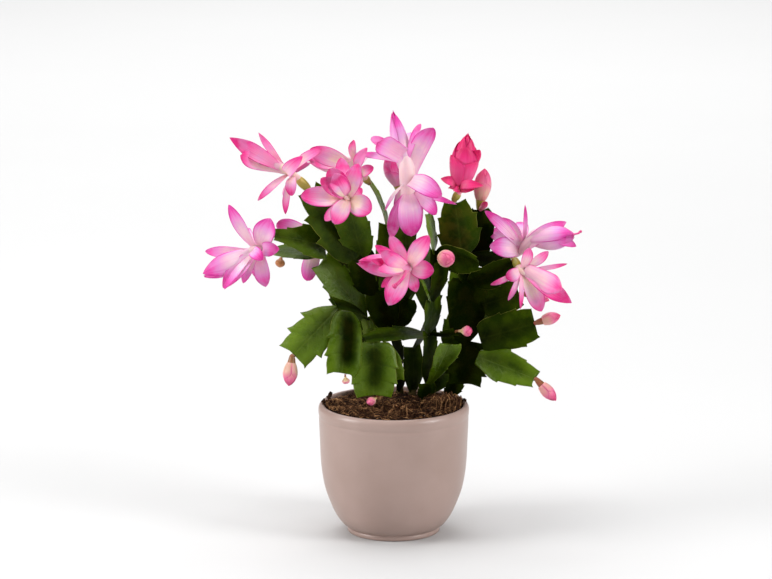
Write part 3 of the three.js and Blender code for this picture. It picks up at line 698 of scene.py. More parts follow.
def strand(bm, points, thickness, tone):
    """A three-sided fibre through points, ending in a point at both ends."""
    last = len(points) - 1
    along = (points[-1] - points[0]).normalized()
    first = along.orthogonal().normalized()
    second = along.cross(first)

    def place(turn, share):
        row = round(share * last)
        wide = thickness if 0 < row < last else 0
        return points[row] + spoke(first, second, math.tau * turn) * wide, Vector((0, share, tone))

    skin(bm, 3, last, place, IN_FIBRE)


# Leafy stems

# Margins: place along a segment and half width without its teeth, from a narrow foot to the cut-off tip
BROAD = [
    (0, 0.17), (0.07, 0.34), (0.16, 0.6), (0.27, 0.83), (0.4, 0.95), (0.56, 0.98), (0.72, 0.94), (0.86, 0.86),
    (1, 0.72),
]
TAPERED = [
    (0, 0.3), (0.07, 0.55), (0.16, 0.8), (0.28, 0.97), (0.42, 1), (0.58, 0.95), (0.74, 0.84), (0.88, 0.66),
    (1, 0.42),
]
ROUND = [
    (0, 0.24), (0.07, 0.46), (0.16, 0.7), (0.28, 0.88), (0.44, 0.97), (0.62, 1), (0.78, 0.97), (0.9, 0.84),
    (1, 0.52),
]
FLARED = [(0, 0.22), (0.2, 0.4), (0.5, 0.72), (0.75, 0.95), (0.9, 0.98), (1, 0.8)]
# Others start wide, because another segment or a fold hides their foot
WEDGE = [(0, 0.9), (0.15, 1), (0.42, 0.92), (0.62, 0.62), (0.82, 0.44), (1, 0.3)]
WIDE = [(0, 0.64), (0.06, 0.82), (0.14, 0.93), (0.28, 0.99), (0.5, 1), (0.72, 0.96), (0.88, 0.86), (1, 0.7)]
SPREAD = [(0, 0.46), (0.06, 0.64), (0.18, 0.82), (0.42, 0.94), (0.66, 1), (0.84, 0.97), (1, 0.74)]
CORNER = [(0, 0.45), (0.16, 0.68), (0.36, 0.99), (0.58, 0.9), (0.8, 0.7), (1, 0.46)]

TEETH = [0.455, 0.735]  # where the points of the teeth are, as places along
HORN = 0.99  # where the margin ends, in the horn of the tip
TOOTH_LENGTH, NOTCH_LENGTH, HORN_LENGTH = 0.13, 0.14, 0.1
NOTCH_DEPTH, HORN_HEIGHT = 0.5, 0.6  # as shares of a tooth's height
NOTCH_START = 0.004  # how far behind the point of a tooth its notch starts
# Places along at which the margin has a row, close together at the teeth
ROWS = [
    0, 0.03, 0.07, 0.115, 0.165, 0.22, 0.28, 0.34, 0.385, 0.415, 0.44, 0.455, 0.462, 0.475, 0.5, 0.54, 0.59,
    0.64, 0.68, 0.705, 0.723, 0.735, 0.742, 0.755, 0.78, 0.82, 0.865, 0.905, 0.94, 0.966, 0.982, HORN,
]
AROUND_BLADE = 20
HALF_EDGE = 0.4  # half of a segment's thickness at its margin, in millimetres
IN_LEAF, IN_OLD_LEAF = 0, 1  # places in a stem's list of materials
CORKY = -0.8  # tone of a stem's foot


def peak(distance, length, power):
    """1 at no distance, falling to 0 at a length, and the sharper the higher the power."""
    return max(0, 1 - distance / length) ** power


def tooth_at(place, size):
    """How far a margin stands out or in at a place, for teeth of that size."""
    out = HORN_HEIGHT * size * peak(HORN - place, HORN_LENGTH, 1.6)
    for tooth in TEETH:
        if place <= tooth:
            out += size * peak(tooth - place, TOOTH_LENGTH, 1.8)
        else:
            out -= NOTCH_DEPTH * size * peak(max(place - tooth - NOTCH_START, 0), NOTCH_LENGTH, 1.3)
    return out


def leaf(bm, line, half_width, rib, how, rng):
    """One flat segment: toothed margins, a cut-off tip between two horns, thin edges and a thicker rib. fold
    turns both halves towards the face, curl turns only the margins, and wave is how far the blade ripples.
    band is where a stripe of painted shade lies across, how far it spreads and how dark it is; where its
    darkness is below 0 it paints a lighter sheen instead."""
    margin, fold, curl = how.get("margin", BROAD), how.get("fold", 0.15), how.get("curl", 0)
    wave, tone, teeth = how.get("wave", 1.9), how.get("tone", 0.2), how.get("teeth", 0.1)
    pair = teeth if isinstance(teeth, tuple) else (teeth, teeth)
    size = {side: part * rng.uniform(0.8, 1.2) for side, part in zip((-1, 1), pair)}
    middle, spread, depth = how.get("painted_light_band", (0, 1, 0))
    seed = rng.uniform(0, 50)
    last = len(ROWS) - 1

    def place(turn, share):
        row = round(share * last)
        edge = ROWS[row]
        angle = math.tau * turn
        across = math.cos(angle)
        aside = abs(across)
        rib_place = SEAT * edge / HORN - 0.045 * math.sin(math.pi * edge)
        tip_bend = 1.6 + 2.4 * (row / last) ** 4
        u = rib_place + (edge - rib_place) * aside**tip_bend
        wide = rounded(margin, edge) + tooth_at(edge, size[-1 if across < 0 else 1])
        out = across * wide * half_width
        thick = HALF_EDGE + (0.5 * rib - HALF_EDGE) * (1 - aside) ** 1.3 * (1 - 0.35 * edge)
        lift = fold * abs(out) * (aside / (aside + 0.12)) + curl * half_width * aside**4
        ripple = noise.noise(Vector((edge * 2.6 + seed, across * 1.1, seed)))
        lift += (thick * math.sin(angle) + wave * ripple * aside**1.5 * smooth(0, 0.3, edge)) * MM
        point = line.point(u) + line.across * out + line.face(u) * lift
        # Painted shade: the band darkens the tone in a stripe across the segment; a darkness below 0 paints a
        # lighter sheen there instead.
        shade = depth * (1 - smooth(0, spread, abs(across - middle)))
        shade *= smooth(0, 0.25, edge) * (1 - smooth(0.75, 1, edge))
        return point, Vector((across, edge, tone - shade))

    skin(bm, AROUND_BLADE, last, place, IN_OLD_LEAF if how.get("old") else IN_LEAF)


def segment_line(foot, tip, turn, bend):
    """A segment's middle line. Its face looks at the viewer, turned about its length by some degrees."""
    along = (tip - foot).normalized()
    face = square_to(along, (EYE - foot).normalized())
    return Line(foot, tip, Matrix.Rotation(math.radians(turn), 3, along) @ face, bend)


def make_stem(name, root, parts):
    """A rooted stem. root is where it stands, and parts lists its segments: each one's name, the one that it
    grows from, its tip, width and look. Returns each segment's line and half width."""
    bm = new_skins()
    rng = random.Random(name)
    x, y = root
    heights = (COLLAR_FOOT, 95, 101, 105, COLLAR_TOP)
    radii = [part * COLLAR_RADIUS * MM for part in (1, 1, 0.98, 0.92, 0.78)]
    tube(bm, [Vector((x, y, z)) * MM for z in heights], radii, 14, 16, CORKY)
    made = {}
    for key, parent, tip, width, how in parts:
        if parent == "foot":
            foot = Vector((x, y, COLLAR_TOP - 4)) * MM
        else:
            line, half = made[parent]
            foot = how.get("foot", line.point(SUNK) + line.across * (how.get("shift", 0) * half))
        line, half = segment_line(foot, tip, how.get("turn", 0), how.get("bend", 0.04)), width / 2 * MM
        made[key] = (line, half)
        leaf(bm, line, half, how.get("rib", RIB), how, rng)
    piece(named("segments", name), bm, [LEAF, OLD_LEAF], name)
    return made


def seat_of(stems, on, shift=0, side=0):
    """Where a bloom or bud sits, at its segment's tip or in a side's last notch, and which way it starts."""
    line, half = stems[on[0]][on[1]]
    if side:
        start = line.across * side
        return line.point(0.73) + start * (0.87 * half + 2 * GAP * MM), start
    start = line.along(1)
    return line.point(SEAT) + line.across * (shift * half) + start * GAP * MM, start


# Petals

# Half width of a petal against its place along: narrow at the root, widest past the middle
PETAL_WIDTH = [(0, 0.3), (0.12, 0.42), (0.3, 0.72), (0.48, 0.94), (0.62, 1)]
WIDEST = PETAL_WIDTH[-1][0]
WRAPPED_WIDEST = 0.68  # the same place on a petal that wraps a cone
AROUND_PETAL = 18
PETAL_ROWS = 16
IN_OVARY, IN_STYLE = 1, 2  # places in a bloom's or bud's list of materials


def petal_width(share, point, base=0):
    """Half width at a place along. point is 0 for a round tip and 1 for a sharp one. base widens the root."""
    if share <= WIDEST:
        return base + (1 - base) * rounded(PETAL_WIDTH, share)
    rest = min((share - WIDEST) / (1 - WIDEST), 1)
    return (1 - rest ** (2.3 - 0.7 * point)) ** (0.52 + 0.42 * point)


def wrapped_width(share, point):
    """Width round the axis of a petal that wraps it: full, then drawn in to the tip."""
    rest = max(share - WRAPPED_WIDEST, 0) / (1 - WRAPPED_WIDEST)
    return (1 - min(rest, 1) ** (2.2 - 0.6 * point)) ** (0.55 + 0.35 * point)


def row_place(share):
    """Rows are closer together near the tip."""
    return 1 - (1 - share) ** 1.35


def petal(bm, root, tip, width, axis, bow, rng, twist, tone, point, base=0.1, out=1.3, cup=1):
    """A petal leaves the flower's axis at its root and arches to its tip, its edges turned up. Its inner face
    looks to the flower's front, and twists towards the viewer by a share. out is how far from the axis it
    starts, in millimetres, and cup how much its edges turn."""
    root = root + square_to(axis, tip - root) * out * MM
    along = (tip - root).normalized()
    front = square_to(along, axis)
    viewer = square_to(along, (EYE - root).normalized())
    if viewer.dot(front) < 0:
        viewer = -viewer
    line = Line(root, tip, front.lerp(viewer, twist), bow)
    half = width / 2 * MM
    seed = rng.uniform(0, 90)
    cup *= rng.uniform(0.2, 0.34)

    def place(turn, share):
        u = row_place(share)
        angle = math.tau * turn
        across = math.cos(angle)
        wide = petal_width(u, point, base)
        ripple = noise.noise(Vector((u * 2.6 + seed, across, seed)))
        thick = (0.14 + 0.4 * (1 - abs(across)) * (1 - u) ** 2) * MM * (0.3 + 0.7 * min(1, wide * 3))
        lift = cup * across**2 * wide * half * (1 - 0.5 * u) + thick * math.sin(angle)
        lift += 0.13 * half * ripple * abs(across) * smooth(0.2, 0.6, u)
        point_on = line.point(u) + line.across * (across * wide * half) + line.face(u) * lift
        return point_on, Vector((across, u, tone))

    skin(bm, AROUND_PETAL, PETAL_ROWS, place)


def wrapped_petal(bm, foot, nose, reach, girth, start, spread, lap, open_tip, tone, point, whole=0.6):
    """A petal that wraps round an axis from foot to nose, as in a cone or bud. reach is where it starts and
    ends along the axis, girth the radius along it, start its place round the axis, spread the angle to
    each edge, and lap how far one edge stands over its neighbour. whole is the share of its shading that
    belongs to the whole cone and not to the petal."""
    axis = (nose - foot).normalized()
    length = (nose - foot).length
    first = Matrix.Rotation(start, 3, axis) @ axis.orthogonal().normalized()
    second = axis.cross(first)

    def place(turn, share):
        u = row_place(share)
        angle = math.tau * turn
        across = math.cos(angle)
        wide = wrapped_width(u, point)
        along = reach[0] + (reach[1] - reach[0]) * u
        radius = girth(along) + lap * MM * (0.5 + 0.5 * across) * (1 - u**3) + open_tip * MM * u**4
        radius += 0.16 * MM * math.sin(angle) * (0.3 + 0.7 * min(1, wide * 3))
        out = spoke(first, second, across * wide * spread)
        mark = Vector((0.95 * across, u + (along - u) * whole, tone))
        return foot + axis * (along * length) + out * max(radius, 0.0002), mark

    skin(bm, AROUND_PETAL, PETAL_ROWS, place)


CONE_GIRTH = [(0, 0.5), (0.22, 0.84), (0.46, 1), (0.7, 0.8), (0.88, 0.4), (1, 0.03)]
# Rounds of a closed cone, outer ones first: where the petals end along the axis, their share of the girth,
# how far their tips stand open in millimetres, and where the first lies round the axis, in degrees
CLOSED = [(1, 1, 0.15, 0), (0.97, 0.8, 0, 60)]
BEAK = [(1, 0.5, 0.1, 0), (0.96, 0.4, 0, 60)]
LAYERED = [(0.6, 1.06, 0.7, 30), (0.8, 0.95, 0.5, 90), (0.98, 0.84, 0.3, 30), (1, 0.66, 0, 90)]
PER_ROUND = 3  # petals that close round a cone or a bud together


def cone(bm, foot, nose, radius, start, tone, point, rounds, whole):
    """The innermost petals, closed round the axis in rounds, with a plain core in the last one."""
    for end, part, open_tip, first in rounds:

        def girth(share):
            return part * radius * MM * rounded(CONE_GIRTH, min(max(share, 0), 1))

        for k in range(PER_ROUND):
            angle = math.radians(start + first) + math.tau * k / PER_ROUND
            reach = (0, end - 0.035 * k)
            wrapped_petal(bm, foot, nose, reach, girth, angle, 1.3, 0.8, open_tip, tone, point, whole)
    if rounds:
        path = [foot.lerp(nose, share) for share in (0, 0.3, 0.6, 0.9)]
        heart = rounds[-1][1] * 0.86 * radius * MM
        tube(bm, path, [part * heart for part in (0.4, 0.85, 0.85, 0.2)], 16, 16, tone + 0.1, (0.2, 0.9))


# Radii in millimetres, from the seat to the flower and along the style and its stigma
OVARY_GIRTH = (1.5, 2.5, 3.2, 3.1, 1.9)
STYLE_GIRTH = (1.0, 1.25, 1.6)
STIGMA_GIRTH = (1.2, 2.1, 0.4)
STIGMA_REACH = (-0.6, 1.0, 2.6)  # from the end of the style


def make_bloom(name, stems, on, throat, mouth, nose, radius, petals, **how):
    """A bloom: ovary, tube, spreading petals, and the innermost in a cone. It sits on a segment, its tube
    runs from throat to mouth and its cone on to the nose. petals lists each spreading one: the share of the
    tube where it starts, its tip, width and bow, and what differs from the bloom's own look."""
    rng = random.Random(name)
    tone, point = how.get("tone", 0.25), how.get("point", 0.5)
    bm = new_skins()
    place, start = seat_of(stems, on)
    neck = place + start * 2.4 * MM
    path = [place, neck, neck.lerp(throat, 0.45), throat, mouth.lerp(throat, 0.1), mouth.lerp(nose, 0.3)]
    girth = (1.3, 2.2, *how.get("girth", (2.7, 2.5, 0.42 * radius)), 0.3)
    tube(bm, path, [part * MM for part in girth], 18, 30, tone * 0.3, (0, 0.4))
    path = [place, *(neck.lerp(throat, share) for share in (0, 0.33, 0.62, 0.85))]
    plump = how.get("ovary", 1) * MM
    tube(bm, path, [part * plump for part in OVARY_GIRTH], 18, 18, 0.0, (0, 1), IN_OVARY)
    inner = tone + how.get("deeper", 0.1)
    rounds, whole = how.get("rounds", CLOSED), how.get("whole", 0.6)
    cone(bm, mouth.lerp(throat, 0.35), nose, radius, how.get("turn", 0), inner, point, rounds, whole)
    axis = (mouth - throat).normalized()
    for share, tip, width, bow, *own in petals:
        look = dict(twist=how.get("twist", 0.7), tone=tone + rng.uniform(-0.08, 0.08), point=point)
        look.update(*own)
        petal(bm, throat.lerp(mouth, share), tip, width, axis, bow, rng, **look)
    if how.get("style"):
        add_style(bm, [mouth.lerp(throat, 0.3), *how["style"]], how.get("slim", 1) * MM)
    piece(named("flower", name), bm, [how.get("finish", PETAL), OVARY, STYLE], name)


def add_style(bm, path, slim):
    """The style that stands out of an open flower, and the stigma at its end."""
    tube(bm, path, [part * slim for part in STYLE_GIRTH], 12, 14, 0.5, (0, 1), IN_STYLE)
    ahead = (path[-1] - path[-2]).normalized()
    ends = [path[-1] + ahead * far * slim for far in STIGMA_REACH]
    tube(bm, ends, [part * slim for part in STIGMA_GIRTH], 12, 10, 0.8, (0.6, 1), IN_STYLE)


# Buds: radius against place along, as shares
POINTED = [(0, 0.36), (0.16, 0.5), (0.36, 0.84), (0.56, 1), (0.78, 0.8), (0.92, 0.42), (1, 0.06)]
BALL = [(0, 0.14), (0.24, 0.2), (0.44, 0.62), (0.66, 1), (0.86, 0.86), (0.96, 0.48), (1, 0.08)]
PLUMP = [(0, 0.4), (0.15, 0.75), (0.4, 1), (0.65, 0.97), (0.85, 0.7), (0.96, 0.3), (1, 0.05)]
# A bud's ovary: places along, and how far it stands out of the bud's girth in millimetres
CUP = ((0, 0.25), (0.07, 0.4), (0.14, 0.35), (0.21, 0.1), (0.28, -0.4))


def make_bud(name, stems, on, tip, radius, **how):
    """A closed bud: a stalk and ovary, and overlapping petals wrapped to a pointed or round head. ripe is how
    brown the ovary is, low is where the petals start, and a twin is a smaller bud at its side."""
    place, start = seat_of(stems, on, how.get("shift", 0), how.get("side", 0))
    neck = place + start * min(2 * MM, 0.15 * (tip - place).length)
    bm = new_skins()
    tone, form = how.get("tone", 0.1), how.get("form", POINTED)

    def girth(along):
        return radius * MM * rounded(form, min(max(along, 0), 1))

    def girth_outside(along):
        return girth(along) + 0.18 * MM

    shares = [0, 0.2, 0.4, 0.6, 0.8, 0.94, 1]
    radii = [0.3 * radius * MM] + [max(0.9 * girth(share), 0.0003) for share in shares]
    tube(bm, [place] + [neck.lerp(tip, share) for share in shares], radii, 18, 24, tone)
    if how.get("twin"):
        beside, size = how["twin"]
        path = [place.lerp(beside, share) for share in (0, 0.3, 0.7, 1)]
        tube(bm, path, [part * size * MM for part in (0.5, 0.8, 1, 0.1)], 14, 14, 0.7)
    if how.get("tan"):
        piece(named("closed_flower", name), bm, [TAN], name)
        return
    radii = [0.32 * radius * MM] + [max(girth(share) + swell * MM, 0.0004) for share, swell in CUP]
    path = [place] + [neck.lerp(tip, share) for share, _ in CUP]
    tube(bm, path, radii, 18, 16, how.get("ripe", 0.3), (0, 1), IN_OVARY)
    turn, low = random.Random(name).uniform(0, 6), how.get("low", 0.1)
    for k in range(PER_ROUND):
        angle, reach = turn + math.tau * k / PER_ROUND, (low + 0.04, 1.0 - 0.02 * k)
        wrapped_petal(bm, neck, tip, reach, girth, angle, 1.25, 0.3, 0.06, tone, 0.5, 0.9)
    for k in range(PER_ROUND):
        angle, reach = turn + 1 + math.tau * k / PER_ROUND, (low, 0.7 + 0.07 * k)
        wrapped_petal(bm, neck, tip, reach, girth_outside, angle, 1.05, 0.15, 0.08, tone + 0.04, 0.6, 0.85)
    piece(named("closed_flower", name), bm, [how.get("finish", BUD), OVARY], name)


# The layout, from the front

# A segment's tone is partly painted light and shade: segments deep inside the plant get near-black tones as
# painted shade, and lit ones high tones as painted light.
STEMS = {
    "stem_left": ((-17, 32), [
        ("low", "foot", at(-18, 145, 30), 18, dict(turn=35, rib=3.4, tone=0.08)),
        # The rise's high tone is painted light, where light shines through it.
        ("rise", "low", at(-21, 178, 22), 19, dict(turn=40, tone=0.95)),
        ("arm", "rise", at(-48, 186, -6), 18, dict(turn=66, bend=0.08, tone=0.12, teeth=0.2)),
        # The fan's band has a darkness below 0: a painted sheen across its upper left. The other bands are
        # stripes of painted shade.
        ("fan", "arm", at(-82, 142, -26), 33, dict(
            turn=8, shift=-0.2, bend=0.05, fold=0.18, tone=0.54, teeth=(0.2, 0.2), wave=2.6, curl=-0.12,
            painted_light_band=(0.7, 0.7, -0.14),
        )),
        ("drop", "arm", at(-42, 126, -42), 29, dict(
            foot=at(-38, 180, -14), turn=-14, bend=0.08, fold=0.3, tone=0.42, teeth=(0, 0.14), curl=-0.22,
            margin=SPREAD, painted_light_band=(-0.2, 0.85, 0.4),
        )),
        ("rear", "rise", at(-60, 223, 6), 26, dict(
            turn=18, shift=-0.3, fold=0.2, tone=0.5, teeth=0.12, wave=2,
        )),
        ("reach", "rear", at(-98, 229, 10), 18, dict(
            foot=at(-62, 225, 6), turn=50, shift=-0.3, bend=0.05, tone=0.34, margin=TAPERED,
        )),
        ("point", "rear", at(-97, 242, -10), 30, dict(
            foot=at(-55, 233, 4), turn=32, bend=0.02, fold=0.3, tone=0.36, margin=WEDGE, teeth=0.08,
        )),
    ]),
    "stem_middle": ((5, 36), [
        ("low", "foot", at(4, 131, 33), 15, dict(turn=60, rib=3.4, tone=0.08)),
        ("rise", "low", at(-3, 172, 28), 20, dict(turn=62, tone=0.08)),
        ("west", "rise", at(-16, 199, 18), 27, dict(turn=20, shift=-0.2, tone=0.1, margin=ROUND, teeth=0.04)),
        ("east", "rise", at(11, 193, 30), 25, dict(turn=-15, shift=0.3, tone=0.08, margin=ROUND, teeth=0.04)),
        ("back", "west", at(-29, 228, 8), 29, dict(turn=24, shift=-0.2, tone=0.02)),
        ("left_blade", "back", at(-69, 281, 4), 37, dict(
            turn=22, shift=-0.3, bend=0.05, tone=0.24, teeth=(0.2, 0.08), wave=2.4, margin=TAPERED,
        )),
        ("right_blade", "back", at(-35, 266, -10), 27, dict(
            turn=-14, shift=0.2, fold=0.3, tone=0.36, margin=ROUND, wave=2.4,
        )),
        ("hidden", "back", at(-52, 233, 26), 15, dict(turn=66, tone=0.08)),
        ("upright", "west", at(-5, 254, 20), 23, dict(turn=34, shift=0.35, tone=0.36)),
        ("stalk", "upright", at(-20, 285, 15), 17, dict(turn=78, bend=0.06, tone=0.7)),
        ("tower", "east", at(7, 224, 16), 24, dict(turn=10, tone=0.25)),
        ("top", "tower", at(9, 253, 2), 18, dict(turn=20, shift=0.1, tone=0.3)),
        ("behind", "tower", at(4, 280, 36), 16, dict(turn=74, shift=-0.2)),
    ]),
    "stem_main": ((25, 12), [
        ("low", "foot", at(26, 122, 10), 17, dict(turn=30, rib=4.2, tone=0.08)),
        ("rise", "low", at(27, 167, 5), 20, dict(turn=50, rib=3, tone=0.14, teeth=0.06)),
        ("upper", "rise", at(30, 192, -2), 20, dict(turn=50, tone=0.22, teeth=0.06)),
        ("crest", "upper", at(18, 215, -22), 18, dict(turn=70, shift=-0.2, bend=0.07, tone=0.45)),
        ("next", "upper", at(37, 224, -22), 20, dict(turn=50, shift=0.2, tone=0.1)),
        ("mid", "upper", at(33, 232, 4), 18, dict(turn=46, shift=0.1, tone=0.1)),
        ("spur", "mid", at(26, 261, 2), 17, dict(turn=68, shift=-0.3, tone=0.6)),
        ("trough", "mid", at(69, 220, -19), 27, dict(
            turn=40, fold=0.5, bend=-0.06, shift=0.2, tone=0.16, margin=TAPERED, teeth=0.05, curl=-0.1,
        )),
        ("shelf", "rise", at(-26, 156, -16), 22, dict(
            turn=60, bend=0.05, shift=-0.2, tone=0.22, teeth=0.16, margin=TAPERED,
        )),
        ("apron", "shelf", at(-16, 109, -22), 36, dict(
            foot=at(-16, 155, -18), turn=-4, fold=0.45, bend=0.03, tone=0.54, teeth=(0.1, 0.06), curl=-0.25,
            wave=2, margin=WIDE, painted_light_band=(-0.05, 0.75, 0.34),
        )),
        ("flap", "shelf", at(5, 123, -6), 15, dict(
            foot=at(-5, 152, -10), turn=16, fold=0.25, tone=0.6, margin=TAPERED,
        )),
        ("lean", "low", at(45, 156, -14), 22, dict(
            turn=34, fold=0.3, shift=0.2, tone=0.48, margin=FLARED, teeth=0.05, painted_light_band=(0.6, 0.6, 0.25),
        )),
        ("peg", "rise", at(50, 164, -4), 13, dict(turn=62, shift=0.2, tone=0.08)),
    ]),
    "stem_right": ((44, 19), [
        ("low", "foot", at(51, 126, 16), 17, dict(turn=30, rib=3.6, tone=0.08)),
        # rise and tall have tone 0 as painted shade: they stand in the shade inside the plant.
        ("rise", "low", at(61, 158, 12), 34, dict(turn=16, tone=0.0)),
        ("tall", "rise", at(56, 210, 8), 34, dict(turn=24, shift=-0.2, tone=0.0, teeth=0.05, margin=ROUND)),
        ("neck", "tall", at(55, 229, 8), 23, dict(turn=46, tone=0.08)),
        ("brown", "neck", at(48, 271, 5), 33, dict(
            turn=8, shift=-0.2, fold=0.12, tone=0.3, teeth=0.14, wave=2.4, old=True, margin=TAPERED,
            painted_light_band=(-0.6, 0.7, 0.16),
        )),
        ("dark", "neck", at(68, 265, 18), 26, dict(
            foot=at(65, 219, 16), turn=30, tone=0.03, margin=ROUND, teeth=0.04,
        )),
        ("east", "tall", at(96, 222, -6), 26, dict(
            turn=38, shift=0.3, fold=0.25, tone=0.1, margin=TAPERED, teeth=0.06,
        )),
        ("rear", "neck", at(88, 224, 25), 22, dict(turn=50, shift=0.2, tone=0.08)),
        ("skirt", "rise", at(57, 119, 6), 31, dict(turn=4, fold=0.15, tone=0.02, teeth=0.2)),
        ("wing", "rise", at(101, 195, 12), 27, dict(
            foot=at(71, 185, 10), turn=-10, fold=0.12, tone=0.19, teeth=0.05, margin=WIDE,
        )),
        ("broad", "rise", at(114, 171, -2), 31, dict(
            foot=at(69, 158, 3), turn=8, fold=0.12, tone=0.2, teeth=0.09, wave=1.8, curl=-0.06, margin=WIDE,
        )),
        ("low_wing", "rise", at(115, 124, -16), 28, dict(
            foot=at(67, 143, 1), turn=-12, fold=0.3, bend=0.03, tone=0.48, margin=CORNER, teeth=0.07,
            curl=-0.14, painted_light_band=(-0.4, 0.7, 0.14),
        )),
    ]),
    "stem_back": ((15, 29), [
        ("low", "foot", at(14, 153, 32), 21, dict(turn=36, rib=3.2)),
        ("rise", "low", at(29, 181, 52), 18, dict(turn=70)),
        ("arch", "rise", at(24, 214, 76), 25, dict(turn=30)),
        ("top", "arch", at(18, 233, 100), 24, dict(turn=10, bend=0.08)),
        ("fall", "arch", at(3, 193, 104), 27, dict(turn=20, bend=0.1, shift=-0.3)),
    ]),
    "stem_far_left": ((-6, 42), [
        ("low", "foot", at(-24, 145, 52), 19, dict(turn=20, rib=3.4)),
        ("rise", "low", at(-38, 180, 62), 23, dict(turn=14)),
        ("upper", "rise", at(-43, 214, 76), 25, dict(turn=-20)),
        ("top", "upper", at(-45, 243, 88), 25, dict(turn=24, bend=0.08)),
        ("fall", "rise", at(-30, 196, 106), 28, dict(turn=10, bend=0.1, shift=0.3)),
    ]),
    "stem_far_right": ((31, 34), [
        ("low", "foot", at(47, 149, 44), 19, dict(turn=24, rib=3.4)),
        ("rise", "low", at(55, 180, 58), 25, dict(turn=-16)),
        ("reach", "rise", at(88, 175, 82), 26, dict(turn=16, shift=0.3, bend=0.06)),
        ("upper", "rise", at(53, 212, 76), 25, dict(turn=24)),
        ("top", "upper", at(50, 245, 92), 25, dict(turn=-12, bend=0.08)),
    ]),
}

